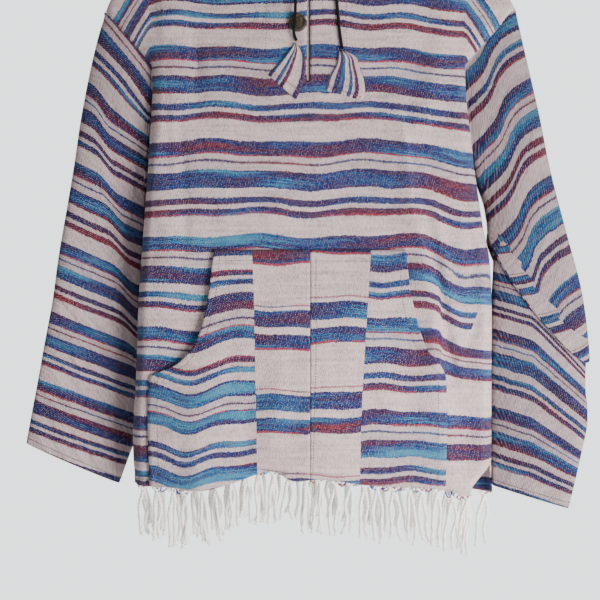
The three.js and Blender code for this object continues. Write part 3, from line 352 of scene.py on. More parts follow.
noise = {name: streaks(weave, cloth_u, cloth_v, *values) for name, values in CLOTH_NOISE.items()}
position = total(weave, stripe_xy.outputs[0], swing(weave, noise["wobble"], WOBBLE),
                 swing(weave, noise["serration"], SERRATION))
in_repeat = maths(weave, "FRACT", position)
woven = chart_ramp(weave, WOVEN_CHART, REPEAT, in_repeat)
paired = chart_ramp(weave, PAIRED_CHART, PAIRED_LENGTH, in_repeat)
is_paired = maths(weave, "GREATER_THAN", stripe_xy.outputs[1], 0.5)
is_bare = maths(weave, "LESS_THAN", stripe_xy.outputs[1], -0.5)
charted = node(weave, "ShaderNodeSeparateColor", (-200, -200))
weave.links.new(blended(weave, is_paired, woven, paired), charted.inputs[0])
chart_dye, chart_hue, chart_red = charted.outputs
dye = maths(weave, "MULTIPLY", chart_dye, maths(weave, "SUBTRACT", 1.0, is_bare))
dye = maths(weave, "MULTIPLY", dye, group_in.outputs["Dye"])

# space-dyed yarn: its colour drifts along the weft, and each pick lies a little off the next
noise["drift"] = streaks(weave, cloth_u, position, *DRIFT_NOISE)
noise["picks"] = streaks(weave, cloth_u, position, *PICK_NOISE)
drift, picks, grains = (swing(weave, noise[name], reach) for name, reach in HUE_SWING.items())
hue = total(weave, drift, picks, HUE_MIDDLE, grains, maths(weave, "SUBTRACT", chart_hue, 0.5),
            group_in.outputs["Shift"])
yarn_ramp = node(weave, "ShaderNodeValToRGB", (200, 200))
while len(yarn_ramp.color_ramp.elements) < len(YARNS):
    yarn_ramp.color_ramp.elements.new(1.0)
for element, (place, colour) in zip(yarn_ramp.color_ramp.elements, YARNS):
    element.position = place
    element.color = tone(*colour)
weave.links.new(hue, yarn_ramp.inputs[0])
red_bits = maths(weave, "GREATER_THAN", noise["red_bits"], RED_BREAK)
dyed = blended(weave, maths(weave, "MULTIPLY", chart_red, red_bits), yarn_ramp.outputs["Color"],
               tone(*RED_YARN))

# the twill: slanting rows of natural warp that show as pale dots on the dyed bands
slant = maths(weave, "ADD", maths(weave, "MULTIPLY", cloth_u, 2 * math.pi / TWILL),
              maths(weave, "MULTIPLY", cloth_v, math.pi / TWILL))
counter = maths(weave, "SUBTRACT", maths(weave, "MULTIPLY", cloth_v, 2 * math.pi / TWILL * 0.75),
                maths(weave, "MULTIPLY", cloth_u, math.pi / TWILL * 0.5))
dots = maths(weave, "MULTIPLY", maths(weave, "SINE", slant), maths(weave, "SINE", counter))
dots = maths(weave, "MULTIPLY", dots, DOT_STRENGTH)
dots = maths(weave, "ADD", dots, swing(weave, noise["fleck"], FLECK_SWING))
dot_mask = maths(weave, "MULTIPLY", maths(weave, "ADD", dots, -DOT_LEAST), DOT_GAIN, clamp=True)

# natural ground with faint ribs and thick places in the yarn
ground = blended(weave, noise["warmth"], tone(*CREAM), tone(*CREAM_WARM))
shade = maths(weave, "ADD", maths(weave, "MULTIPLY", noise["ribs"], SHADE["ribs"]),
              maths(weave, "MULTIPLY", noise["slubs"], SHADE["slubs"]))
shade = maths(weave, "SUBTRACT", shade, maths(weave, "MULTIPLY", dots, SHADE["dots"]))
shade = maths(weave, "MULTIPLY", maths(weave, "SUBTRACT", shade, SHADE_LEAST), SHADE_GAIN, clamp=True)
ground = blended(weave, shade, ground, tone(*CREAM_DIM))
pale_dot = blended(weave, DOT_YARN, ground, yarn_ramp.outputs["Color"])
band = blended(weave, maths(weave, "MULTIPLY", dot_mask, DOT_COVER), dyed, pale_dot)
cloth_colour = blended(weave, dye, ground, band)
# painted shade: the cloth's colour is multiplied towards a dark grey-blue by the piece's painted shade input
weave.links.new(blended(weave, group_in.outputs["Depth"], cloth_colour, tone(*PAINTED_SHADE_TONE), "MULTIPLY"),
                group_out.inputs["Color"])

# relief: dots, ribs and thick places, and swells, because the cloth never hangs quite even
noise["dots"] = dots
height = total(weave, *[maths(weave, "MULTIPLY", noise[name], rise) for name, rise in RELIEF.items()])
weave.links.new(height, group_out.inputs["Height"])


def woven_material(name, dye=1.0, shift=0.0, depth=0.0):
    """The striped cloth with its nap, for one piece; depth is how much painted shade darkens its colours."""
    material, tree, shader = new_material(name, 0.92)
    shader.inputs["Sheen Weight"].default_value = 0.06
    shader.inputs["Sheen Roughness"].default_value = 0.6
    shader.inputs["Specular IOR Level"].default_value = 0.12
    pattern = node(tree, "ShaderNodeGroup", (-500, 0), node_tree=weave)
    for socket, value in (("Dye", dye), ("Shift", shift), ("Depth", depth)):
        pattern.inputs[socket].default_value = value
    tree.links.new(pattern.outputs["Color"], shader.inputs["Base Color"])
    add_bump(tree, shader, pattern.outputs["Height"], WEAVE_RELIEF, WEAVE_STRENGTH)
    return material


# ---------------------------------------------------------------- body panels
# Front and back are straight lengths of cloth, joined over the shoulders and down the sides.
# They hang over the hanger's arms and fall in long soft folds; the front is slit at the neck.
CLOTH = 2
HALF_GAP = 0.15
NECK_HALF = 80
NECK_TOP = -95
NECK_DROP = {"front": 40, "back": 20}
NECK_FILL = 5                    # how much fuller the cloth stands below the neck
NECK_FILL_HALF = 60
NECK_FILL_TOP = -150
NECK_FILL_END = -330
SHOULDER_SLOPE = 0.356
SHOULDER_DEPTH = 10              # half depth where the shoulder starts to droop, and its loss by the tip
SHOULDER_THINNING = 3
RIDGE_RADIUS = 12
WRAP_WIDTH = 18
CHEST_TOP = -250
UNDERARM = -388
VENT_TOP = -786
VENT_RUN = 50
VENT_SHIFT = {"front": (3, -30), "back": (-2, 3)}   # of the left and right edges at the open hem
VENT_PART = 6
VENT_PART_RUN = 40
HEM_LEVEL = -820
SLIT = {"left": -1.5, "right": 2.8}
SLIT_END = -273
CORE_TOP = 200
# level, left and right edge, depth of the front and of the back
BODY = [(-95, -217, 213, 10, 10), (-135, -217, 213, 14, 13), (-165, -217, 213, 18, 16),
        (-250, -213, 214, 25, 22), (-300, -212, 216, 29, 26), (-388, -219, 228, 34, 30),
        (-470, -225, 240, 37, 33), (-510, -228, 248, 38, 34), (-570, -232, 251.6, 38, 34),
        (-680, -236, 251.6, 36, 33), (-760, -240, 251.6, 33, 30), (-840, -236, 251.6, 31, 28)]
LEFT, RIGHT, FRONT, BACK = 1, 2, 3, 4
ARMHOLE = [(-250, 14), (-300, 15), (-350, 11), (UNDERARM, HALF_GAP)]
# share of the way round the shoulder, then across and level
SHOULDER = {
    "left": [(0, -200, -137.7), (0.25, -224, -143), (0.5, -249, -147), (0.75, -269, -155), (1, -278, -174)],
    "right": [(0, 200, -137.7), (0.25, 224, -143), (0.5, 252, -146), (0.75, 274, -153), (1, 285, -170)]}
HEM = {
    "front": [(-240, -820), (-190, -823), (-160, -827), (-130, -818), (-100, -804), (-70, -799),
              (-30, -803), (3, -809), (60, -815), (120, -822), (180, -825), (205, -834), (245, -836)],
    "back": [(-240, -822), (-150, -823), (-60, -806), (40, -811), (140, -821), (245, -836)]}
# upper end, lower end, sideways bow, width and rise of each fold
FOLDS = {
    "front": [
        (116, -300, 187, -880, 20, 24, 9), (142, -330, 218, -880, 14, 18, -6),
        (-158, -190, -150, -330, 3, 11, -4), (-178, -150, -190, -620, -6, 20, 5),
        (186, -150, 148, -360, 6, 16, 4), (-80, -640, -84, -900, 2, 24, -7),
        (-150, -690, -152, -940, 2, 22, 6), (20, -560, 36, -900, 5, 34, 4)],
    "back": [
        (-150, -180, -112, -880, -12, 24, 8), (-84, -360, -60, -900, 8, 22, -6),
        (160, -170, 128, -900, 10, 26, 8), (92, -400, 70, -900, -6, 22, -6),
        (12, -430, 4, -900, 6, 30, 6)]}
# smaller creases that only soften the surface
CREASES = {
    "front": [
        (118, -280, 136, -430, 4, 7, 3.0), (124, -290, 150, -460, 4, 6, -2.6),
        (146, -400, 198, -720, 5, 8, -6.5), (160, -400, 211, -720, 5, 9, 4.5),
        (206, -300, 226, -640, 3, 8, -3.0), (-176, -300, -166, -520, 4, 8, -3.0),
        (232, -577, 206, -648, 3, 5, -2.5),
        (-205, -170, -198, -420, 3, 7, 2.2), (-196, -200, -188, -470, 2, 6, -2.0),
        (-60, -200, -44, -500, 9, 16, 1.6), (30, -300, 64, -540, -6, 18, -1.6),
        (-110, -260, -120, -560, 5, 14, 1.4), (80, -190, 96, -330, 5, 12, -1.3),
        (-150, -225, -158, -296, 2, 5, -2.2), (-30, -110, -64, -240, 4, 12, 1.3)],
    "back": [
        (-190, -180, -176, -560, 6, 9, -2.6), (190, -190, 178, -520, -6, 9, -2.4),
        (-30, -200, -52, -480, 8, 16, 1.8), (52, -240, 40, -600, 6, 15, -1.8),
        (-118, -420, -100, -860, 3, 8, 2.2), (112, -380, 104, -840, 4, 8, 2.4)]}


def at(table, value, column):
    """Value of a table's column at a key, through the rows by a smooth curve."""
    rows = np.array(sorted(table), float)
    keys, values = rows[:, 0], rows[:, column]
    last = len(keys) - 1
    before, after = np.maximum(np.arange(last + 1) - 1, 0), np.minimum(np.arange(last + 1) + 1, last)
    slopes = (values[after] - values[before]) / (keys[after] - keys[before])
    value = np.clip(value, keys[0], keys[-1])
    i = np.clip(np.searchsorted(keys, value, side="right") - 1, 0, last - 1)
    step = keys[i + 1] - keys[i]
    t = (value - keys[i]) / step
    t2, t3 = t * t, t * t * t
    return ((2 * t3 - 3 * t2 + 1) * values[i] + (t3 - 2 * t2 + t) * step * slopes[i]
            + (3 * t2 - 2 * t3) * values[i + 1] + (t3 - t2) * step * slopes[i + 1])


def smooth(value, low, high):
    """0 below low, 1 above high, with soft ends."""
    t = np.clip((value - low) / (high - low), 0, 1)
    return t * t * (3 - 2 * t)


def rounded(share):
    """Rises from 0 to 1 as the upper side of a round edge does."""
    return np.sqrt(np.maximum(1 - (1 - share) ** 2, 0))


def shoulder_line(x):
    """Level of the ridge over the neck and the hanger's arms."""
    return NECK_TOP - SHOULDER_SLOPE * np.maximum(np.abs(x) - NECK_HALF, 0)


def fold_height(folds, x, z):
    """Sum of the folds at a place on a panel."""
    height = np.zeros(np.broadcast(x, z).shape)
    for x0, z0, x1, z1, bow, width, rise in folds:
        t = np.clip((z0 - z) / (z0 - z1), 0, 1)
        line = x0 + (x1 - x0) * t + bow * np.sin(math.pi * t)
        height = height + rise * np.abs(np.sin(math.pi * t)) ** 0.7 * np.exp(-((x - line) / width) ** 2)
    return height


def cloth_depth(face, x, z):
    """How far the front or back cloth stands from the middle plane."""
    x, z = np.asarray(x, float), np.asarray(z, float)
    neck_fill = NECK_FILL * np.exp(-(x / NECK_FILL_HALF) ** 2) * smooth(z, NECK_FILL_END, NECK_FILL_TOP)
    ridge = rounded(np.clip((shoulder_line(x) - z) / RIDGE_RADIUS, 0, 1))
    base = at(BODY, z, FRONT if face == "front" else BACK)
    return (base + neck_fill + fold_height(FOLDS[face] + CREASES[face], x, z)) * ridge


def front_point(x, z, out=0.0):
    """A place on the front's outer face, or so far out from it."""
    x, z = np.broadcast_arrays(np.asarray(x, float), np.asarray(z, float))
    return np.stack([x, -cloth_depth("front", x, z) - out, z], axis=-1)


def side_edge(face, is_left, z):
    """A panel's side edge; front and back part ways at the vent above the hem."""
    vent = smooth(-z, -VENT_TOP, VENT_RUN - VENT_TOP)
    left_shift, right_shift = VENT_SHIFT[face]
    return np.where(is_left, at(BODY, z, LEFT) + vent * left_shift, at(BODY, z, RIGHT) + vent * right_shift)


def seam_half(z):
    """Half the opening between the edges of front and back: armhole, side seam and vent."""
    vent = HALF_GAP + VENT_PART * smooth(-z, -VENT_TOP, VENT_PART_RUN - VENT_TOP)
    return np.where(z > UNDERARM, at(ARMHOLE, z, 1), vent)


def body_point(face, is_left, flat, wrap, z):
    """A place below the chest: flat in the middle, rounded at the sides."""
    sign = -1 if face == "front" else 1
    edge = side_edge(face, is_left, z)
    flat_edge = edge + np.where(is_left, WRAP_WIDTH, -WRAP_WIDTH)
    slit = np.where(is_left, SLIT["left"], SLIT["right"])
    angle = wrap * math.pi / 2
    x = np.where(wrap > 0, flat_edge + (edge - flat_edge) * np.sin(angle), slit + (flat_edge - slit) * flat)
    depth = cloth_depth(face, np.where(wrap > 0, flat_edge, x), z)
    half = np.where(wrap > 0, seam_half(z), 0)
    return np.stack([x, sign * (half + (depth - half) * np.where(wrap > 0, np.cos(angle), 1)), z], axis=-1)


def top_point(face, is_left, flat, wrap):
    """The top edge: shoulder seam, neckline or the drooping end of the shoulder."""
    sign = -1 if face == "front" else 1
    slit = np.where(is_left, SLIT["left"], SLIT["right"])
    x = slit + (np.where(is_left, -CORE_TOP, CORE_TOP) - slit) * flat
    across = np.clip(np.abs(x) / NECK_HALF, 0, 1)
    z = shoulder_line(x) - NECK_DROP[face] * (1 - across ** 2)
    y = np.maximum(cloth_depth(face, x, z), HALF_GAP)
    droop_x = np.where(is_left, at(SHOULDER["left"], wrap, 1), at(SHOULDER["right"], wrap, 1))
    droop_z = np.where(is_left, at(SHOULDER["left"], wrap, 2), at(SHOULDER["right"], wrap, 2))
    droops = wrap > 0
    return np.stack([np.where(droops, droop_x, x), sign * np.where(droops, HALF_GAP, y),
                     np.where(droops, droop_z, z)], axis=-1)


def shoulder_point(face, is_left, flat, wrap, w):
    """A place between the top edge and the chest."""
    sign = -1 if face == "front" else 1
    top = top_point(face, is_left, flat, wrap)
    chest = body_point(face, is_left, flat, wrap, np.full(np.shape(w), float(CHEST_TOP)))
    point = top + (chest - top) * w[..., None]
    ridge = rounded(np.clip(w * (top[..., 2] - CHEST_TOP) / RIDGE_RADIUS, 0, 1))
    tip_depth = SHOULDER_DEPTH - SHOULDER_THINNING * wrap
    round_depth = (tip_depth + (np.abs(chest[..., 1]) - tip_depth) * w) * ridge
    flat_depth = np.maximum(cloth_depth(face, point[..., 0], point[..., 2]), HALF_GAP)
    depth = np.where(wrap > 0, round_depth, flat_depth)
    point[..., 1] = np.where(w > 0, sign * depth, point[..., 1])
    return point


def grid_piece(bm, columns, rows, place, around=False):
    """A grid of cloth. place(column, row) gives points, cloth coordinates in mm, the count of
    repeats (one for each chart, where they differ) and the chart: 0 banded, 1 paired, below 0 bare."""
    bmesh.ops.create_grid(bm, x_segments=columns, y_segments=rows, size=1)
    bm.verts.ensure_lookup_table()
    flat = np.array([v.co[:2] for v in bm.verts])
    column = np.rint((flat[:, 0] + 1) / 2 * columns).astype(int)
    row = np.rint((1 - flat[:, 1]) / 2 * rows).astype(int)
    points, cloth, stripes, charts = place(column, row)
    cloth_layer = bm.loops.layers.uv.new("cloth")
    stripe_layer = bm.loops.layers.uv.new("stripes")
    for v, p in zip(bm.verts, points):
        v.co = p
    for face in bm.faces:
        chart = int(charts[[loop.vert.index for loop in face.loops]].max())
        for loop in face.loops:
            k = loop.vert.index
            loop[cloth_layer].uv = (cloth[k, 0] * MM, cloth[k, 1] * MM)
            count = stripes[k] if stripes.ndim == 1 else stripes[k, chart]
            loop[stripe_layer].uv = (count, max(chart, 0) or charts[k])
    if around:
        bmesh.ops.remove_doubles(bm, verts=bm.verts, dist=0.02)
    return column, row


def face_outwards(bm, middle):
    """Turns every face's normal away from a middle line or place."""
    bm.normal_update()
    outwards = 0.0
    for face in bm.faces:
        outwards += (face.calc_center_median() - Vector(middle)).dot(face.normal) * face.calc_area()
    if outwards < 0:
        bmesh.ops.reverse_faces(bm, faces=bm.faces)


def open_slit(bm, column, middle):
    """Takes out the faces between a middle column and the next, from the neck to the slit's end."""
    cut = [f for f in bm.faces
           if {column[v.index] for v in f.verts} == {middle, middle + 1}
           and f.calc_center_median().z > SLIT_END]
    bmesh.ops.delete(bm, geom=cut, context="FACES")


def thicken(piece, thickness):
    """Gives a cloth shell its wall, inwards from its outer face."""
    wall = piece.modifiers.new("wall", "SOLIDIFY")
    wall.thickness = thickness * MM
    wall.offset = -1.0
    wall.use_even_offset = False


# level of the top of each repeat's first band on the body, by its number
BODY_REPEATS = [(-96, -1.1), (-107, -1), (-227.1, 0), (-355.4, 1), (-483.6, 2), (-608.5, 3), (-728, 4),
                (-845, 5), (-960, 6)]
BACK_START = 0.27                # share of a repeat by which the back's stripes lie off the front's
DROOP_STRIPE = 1.5               # rise of the stripes on the cloth that droops past the hanger
DROOP_EDGE = {"left": -215, "right": 214}
# how much lower the stripes lie beyond the long fold, how much more beside the pocket, and in a step
FOLD_DROP = 14
FOLD_DROP_LOW = 8
FOLD_STEP = 6
# where the body's stripes stop short beside the long fold: left edge at the bare level, its slope,
# and the counts of repeats between which the cloth stays bare
BARE_PLACES = [(232, 0.37, 2.55, 2.98), (178, 0, 3.53, 3.98), (178, 0, 4.53, 6)]
BARE_LEVEL = -577
BARE_REPEAT = 110                # millimetres to a repeat there, and the width of the soft border
BARE_BORDER = 10
PANEL_HALF_COLUMNS = 52
PANEL_WRAP_COLUMNS = 9
PANEL_TOP_ROWS = 30
PANEL_ROWS = 118


def body_repeats(x, z):
    """Number of the repeat at a place on the front or back."""
    lowered = FOLD_DROP + FOLD_DROP_LOW * smooth(-z, 480, 560)
    # the long fold slants outwards from x = 118 below the shoulder
    lowered = lowered * smooth(x, 118 - (z + 165) * 0.1, 214) * smooth(z, -720, -630)
    lowered = lowered + FOLD_STEP * smooth(x, 176, 181) * smooth(-z, 525, 545) * smooth(z, -652, -640)
    # the weft never lies quite level
    waves = 2.2 * np.sin(x / 31 + z / 90) + 1.6 * np.sin(x / 17 - z / 57)
    left_over = np.maximum(DROOP_EDGE["left"] - x, 0) * smooth(z, -300, -230)
    right_over = np.maximum(x - DROOP_EDGE["right"], 0) * smooth(z, -300, -230)
    return at(BODY_REPEATS, z + lowered + waves + DROOP_STRIPE * (left_over + right_over), 1)


def panel_point(face, is_left, flat, wrap, row):
    """A place on a panel; rows run from 0 at the shoulder to 1 at the chest, and on to 2 at the hem."""
    w = np.clip(row, 0, 1) ** 1.6
    upper = shoulder_point(face, is_left, flat, wrap, w)
    probe = body_point(face, is_left, flat, wrap, np.full(np.shape(flat), float(HEM_LEVEL)))
    hem = at(HEM[face], probe[..., 0], 1)
    lower = body_point(face, is_left, flat, wrap, CHEST_TOP + (hem - CHEST_TOP) * np.clip(row - 1, 0, 1))
    return np.where((row <= 1)[..., None], upper, lower)


def panel(face):
    """One body panel as a shell of fine cells; the front has its slit cut out."""
    side = PANEL_HALF_COLUMNS + PANEL_WRAP_COLUMNS
    columns = 2 * side + 1
    rows = PANEL_TOP_ROWS + PANEL_ROWS

    def place(column, row):
        is_left = column <= side
        away = np.where(is_left, side - column, column - side - 1)
        flat = np.clip(away / PANEL_HALF_COLUMNS, 0, 1)
        wrap = np.clip((away - PANEL_HALF_COLUMNS) / PANEL_WRAP_COLUMNS, 0, 1)
        down = np.where(row <= PANEL_TOP_ROWS, row / PANEL_TOP_ROWS,
                        1 + (row - PANEL_TOP_ROWS) / PANEL_ROWS)
        points = panel_point(face, is_left, flat, wrap, down)
        x, z = points[:, 0], points[:, 2]
        repeats = body_repeats(x, z) if face == "front" else body_repeats(-x, z) + BACK_START
        cloth = np.stack([x + np.where(is_left, -1, 1) * wrap * 10, -z], axis=-1)
        bare = np.zeros(len(x))
        if face == "front":
            for left, lean, first, last in BARE_PLACES:
                within = BARE_REPEAT * np.minimum(repeats - first, last - repeats)
                inside = np.minimum(x - left - lean * (z - BARE_LEVEL), within)
                bare = np.maximum(bare, np.clip(0.5 + inside / BARE_BORDER, 0, 1))
        return points, cloth, repeats, -bare

    bm = bmesh.new()
    column, _ = grid_piece(bm, columns, rows, place)
    if face == "front":
        open_slit(bm, column, side)
    face_outwards(bm, (0, 0, -450))
    return bm


front_piece = new_piece("front", panel("front"), woven_material("striped_cloth_front"))
thicken(front_piece, CLOTH)
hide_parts("front_panel")
back_cloth = woven_material("striped_cloth_back", shift=0.05)
back_piece = new_piece("back", panel("back"), back_cloth)
thicken(back_piece, CLOTH)
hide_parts("back_panel")


# ---------------------------------------------------------------- sleeves
# Each sleeve is one tube of the striped cloth, set into the armhole and hanging down beside the body.
# The right one is folded over at the elbow, so that its lower half comes out from under a soft pleat.
SLEEVE_CLOTH = 1.6
ARMHOLE_GAP = 0.45
ARMHOLE_PROBE = 0.97             # share of the way round the panel's side that shows which way is out
TOP_ROWS = [0, 0.04, 0.12, 0.35, 0.68, 1]
ARMHOLE_LEVELS = [-250, -273, -300, -330, -360, UNDERARM]
# share of the way down, outer edge x z, inner edge x y z, bow and half thickness
SLEEVE_LEFT = [
    (0.0, -278, -174, -220, 2, -392, 34, 14), (0.1, -293, -224, -227, 8, -410, 34, 17),
    (0.2, -306, -284, -228, 22, -444, 30, 19), (0.3, -317, -354, -219, 42, -492, 26, 20),
    (0.4, -327, -421, -211, 56, -545, 22, 20), (0.5, -340, -489, -209, 59, -600, 18, 19),
    (0.6, -348, -552, -213, 58, -650, 14, 18), (0.7, -360, -618, -221, 54, -698, 10, 17),
    (0.8, -371, -680, -235, 48, -744, 6, 16), (0.9, -380, -728, -250, 40, -786, 3, 15),
    (1.0, -387, -766, -264, 33, -826, 0, 14)]
SLEEVE_RIGHT_UPPER = [
    (0.0, 285, -170, 230, 2, -392, 34, 14), (0.14, 297, -224, 234, 4, -404, 30, 18),
    (0.28, 315, -300, 238, 5, -420, 22, 21), (0.42, 329, -372, 242, 5, -436, 14, 23),
    (0.56, 346, -446, 244, 4, -450, 6, 24), (0.7, 367, -520, 246, 3, -461, -4, 25),
    (0.85, 383, -590, 248, 2, -470, -13, 25), (1.0, 387, -656, 249, 2, -478, -22, 24)]
SLEEVE_RIGHT_LOWER = [
    (0.0, 382, -659, 258, 2, -486, -22, 18), (0.2, 382, -694, 254, 3, -562, -12, 17),
    (0.45, 385, -734, 252, 4, -642, -6, 16), (0.65, 379, -766, 252, 5, -710, -2, 15),
    (0.83, 369, -812, 252, 6, -768, 0, 14), (1.0, 358, -856, 252, 6, -824, 0, 13)]
AIR = {True: 4, False: 0.3}      # between the body's side and the left (True) or right sleeve
PLEAT_FRONT = 30
PLEAT_LEAST = 6
PLEAT_GAP = 0.8
PLEAT_TURN = 0.16
# share of the way down, and how far the sleeve's own section has taken over from the armhole's
SEAM_BLEND = [(0.02, 0.08), (0.05, 0.25), (0.1, 0.55), (0.16, 0.82)]
SEAM_AIR = 0.75                  # the first section's share of the air, and of the armhole's depth
SEAM_DEPTH = 0.93
LEFT_SECTIONS = 9
UPPER_SECTIONS = 5
UPPER_END = 0.93
LOWER_SECTIONS = 7
LOWER_START = 0.04
SLEEVE_HALF_COLUMNS = 36
SLEEVE_ROWS = 110


def ring_shares(half_columns):
    """Shares from the outer edge (0) to the inner edge (1), down the front and up the back."""
    k = np.arange(2 * half_columns + 1)
    share = np.where(k <= half_columns, k, 2 * half_columns - k) / half_columns
    return share, k <= half_columns


def armhole_ring(is_left, share, is_front):
    """The sleeve's top edge, just outside the edges of both panels."""
    last_top = len(TOP_ROWS) - 1
    station = share * (last_top + len(ARMHOLE_LEVELS) - 1)
    w = np.interp(station, np.arange(last_top + 1), TOP_ROWS)
    z = np.interp(station, last_top + np.arange(len(ARMHOLE_LEVELS)), ARMHOLE_LEVELS)
    edge, inside = [], []
    for wrap, kept in ((1.0, edge), (ARMHOLE_PROBE, inside)):
        wraps = np.full(len(share), wrap)
        flat = np.ones(len(share))
        for face in ("front", "back"):
            upper = shoulder_point(face, is_left, flat, wraps, w)
            lower = body_point(face, is_left, flat, wraps, z)
            kept.append(np.where((station <= last_top)[:, None], upper, lower))
    points = np.where(is_front[:, None], edge[0], edge[1])
    away = points - np.where(is_front[:, None], inside[0], inside[1])
    away /= np.linalg.norm(away, axis=1, keepdims=True)
    return points + away * ARMHOLE_GAP


def sleeve_section(table, t, share, is_front):
    """A flattened section of a sleeve."""
    values = [float(at(table, t, column)) for column in range(1, 8)]
    outer_x, outer_z, inner_x, inner_y, inner_z, bow, half = values
    outer, inner = np.array([outer_x, 0, outer_z]), np.array([inner_x, inner_y, inner_z])
    across = inner - outer
    bow_way = np.array([-across[2], 0, across[0]])
    bow_way *= -np.sign(outer_x) / np.linalg.norm(bow_way)
    turn = math.pi * share
    points = outer + across * ((1 - np.cos(turn)) / 2)[:, None]
    points = points + bow_way * (bow * np.sin(turn))[:, None]
    points[:, 1] -= np.where(is_front, 1, -1) * half * np.abs(np.sin(turn)) ** 0.8
    return points


def clear_of_body(points, is_left, air):
    """Moves places of a sleeve out of the body's rounded side."""
    points = points.copy()
    outwards = -1 if is_left else 1
    x, y, z = points.T
    level = np.minimum(z, CHEST_TOP)
    chest = side_edge("back", is_left, level)
    tip_x, tip_z = SHOULDER["left" if is_left else "right"][-1][1:]
    rise = np.clip((z - CHEST_TOP) / (tip_z - CHEST_TOP), 0, None)
    edge = chest + (tip_x - chest) * rise
    flat = edge - outwards * WRAP_WIDTH
    probe = chest - outwards * WRAP_WIDTH
    depth = np.where(y < 0, cloth_depth("front", probe, level), cloth_depth("back", probe, level)) + air
    beyond = (x - flat) * outwards
    aside = np.abs(y)
    way = np.where(y < 0, -1.0, 1.0)
    reach = ((np.maximum(beyond, 0) / (WRAP_WIDTH + air)) ** 3 + (aside / depth) ** 3) ** (1 / 3)
    reach = np.clip(reach, 0.05, 1)
    behind = beyond <= 0
    points[:, 0] = np.where(behind, x, flat + outwards * beyond / reach)
    points[:, 1] = np.where(behind, way * np.maximum(aside, depth), y / reach)
    return points


def shrink_ring(ring, amount):
    """A ring moved inwards in its own plane."""
    middle = ring[:-1].mean(axis=0)
    axis = np.cross(ring[0] - middle, ring[len(ring) // 4] - middle)
    axis /= np.linalg.norm(axis)
    closed = ring[:-1]
    along = np.roll(closed, -1, axis=0) - np.roll(closed, 1, axis=0)
    inwards = np.cross(along, axis)
    inwards /= np.linalg.norm(inwards, axis=1, keepdims=True)
    flip = np.sum(inwards * (middle - closed), axis=1) < 0
    inwards[flip] *= -1
    moved = closed + inwards * amount
    return np.vstack([moved, moved[:1]])


def elbow_pleat(edge, upper, share, is_front):
    """The cloth turns up inside the upper sleeve and down again."""
    extra = np.where(is_front, PLEAT_FRONT - PLEAT_LEAST, 0)
    overlap = PLEAT_LEAST + extra * np.sin(math.pi / 2 * share) ** 1.5
    way = upper - edge
    way /= np.linalg.norm(way, axis=1, keepdims=True)

    def raised(ring, part):
        return ring + way * (part * overlap)[:, None]

    second = shrink_ring(edge, 2 * SLEEVE_CLOTH + PLEAT_GAP)
    third = shrink_ring(edge, 2 * SLEEVE_CLOTH + 2 * PLEAT_GAP)
    top = shrink_ring(edge, 2 * SLEEVE_CLOTH + 1.5 * PLEAT_GAP)
    return [raised(edge, PLEAT_TURN), shrink_ring(edge, SLEEVE_CLOTH + PLEAT_GAP / 2),
            raised(second, PLEAT_TURN), raised(second, 1 - PLEAT_TURN), raised(top, 1),
            raised(third, 1 - PLEAT_TURN)]


def sleeve_rings(is_left):
    """Rings from the armhole to the cuff."""
    share, is_front = ring_shares(SLEEVE_HALF_COLUMNS)
    armhole = armhole_ring(is_left, share, is_front)
    table = SLEEVE_LEFT if is_left else SLEEVE_RIGHT_UPPER
    rings = [armhole]
    for t, w in SEAM_BLEND:
        section = sleeve_section(table, t, share, is_front)
        first = t == SEAM_BLEND[0][0]
        air = AIR[is_left] * (SEAM_AIR if first else 1)
        ring = clear_of_body(armhole + (section - armhole) * w, is_left, air)
        if first:
            limit = np.abs(armhole[:, 1]) * SEAM_DEPTH
            ring[:, 1] = np.sign(armhole[:, 1]) * np.minimum(np.abs(ring[:, 1]), limit)
        rings.append(ring)

    def section(rows, t):
        return clear_of_body(sleeve_section(rows, t, share, is_front), is_left, AIR[is_left])

    seam_end = SEAM_BLEND[-1][0]
    if is_left:
        return rings + [section(table, t) for t in np.linspace(seam_end, 1, LEFT_SECTIONS + 1)[1:]]
    upper = [section(table, t) for t in np.linspace(seam_end, UPPER_END, UPPER_SECTIONS + 1)[1:]]
    edge = section(table, 1.0)
    lower = [section(SLEEVE_RIGHT_LOWER, t) for t in np.linspace(LOWER_START, 1, LOWER_SECTIONS)]
    return rings + upper + elbow_pleat(edge, upper[-1], share, is_front) + lower


# level of each repeat along the left sleeve's outer edge, and the fall of its stripes there
LEFT_REPEATS = [(-50, -1.9), (-158, -1), (-269, 0), (-379.7, 1), (-489, 2), (-584.9, 3), (-676.7, 4),
                (-768.5, 5), (-860, 6)]
LEFT_FALL = [(-165, 1.25), (-192, 1.19), (-269, 0.74), (-380, 0.5), (-489, 0.44), (-585, 0.42), (-768, 0.40)]
LEFT_CREASE = [(-165, -278), (-300, -283), (-395, -277), (-448, -267), (-502, -260), (-610, -246),
               (-665, -233)]
LEFT_CREASE_STEP = 15
LEFT_CREASE_HALF = 12
LEFT_CREASE_TOP = (250, 330)     # how far below the hook its step begins and is whole


def left_repeats(x, z):
    """Number of the repeat at a place on the left sleeve."""
    edge_z = z.copy()
    rows = [(row[2], row[1]) for row in SLEEVE_LEFT]
    for _ in range(4):
        inwards = np.maximum(x - at(rows, edge_z, 1), 0)
        crease = at(LEFT_CREASE, z, 1)
        step = LEFT_CREASE_STEP * smooth(x, crease - LEFT_CREASE_HALF, crease + LEFT_CREASE_HALF)
        step = step * smooth(-z, *LEFT_CREASE_TOP)
        edge_z = z + at(LEFT_FALL, edge_z, 1) * inwards + step
    return at(LEFT_REPEATS, edge_z, 1)


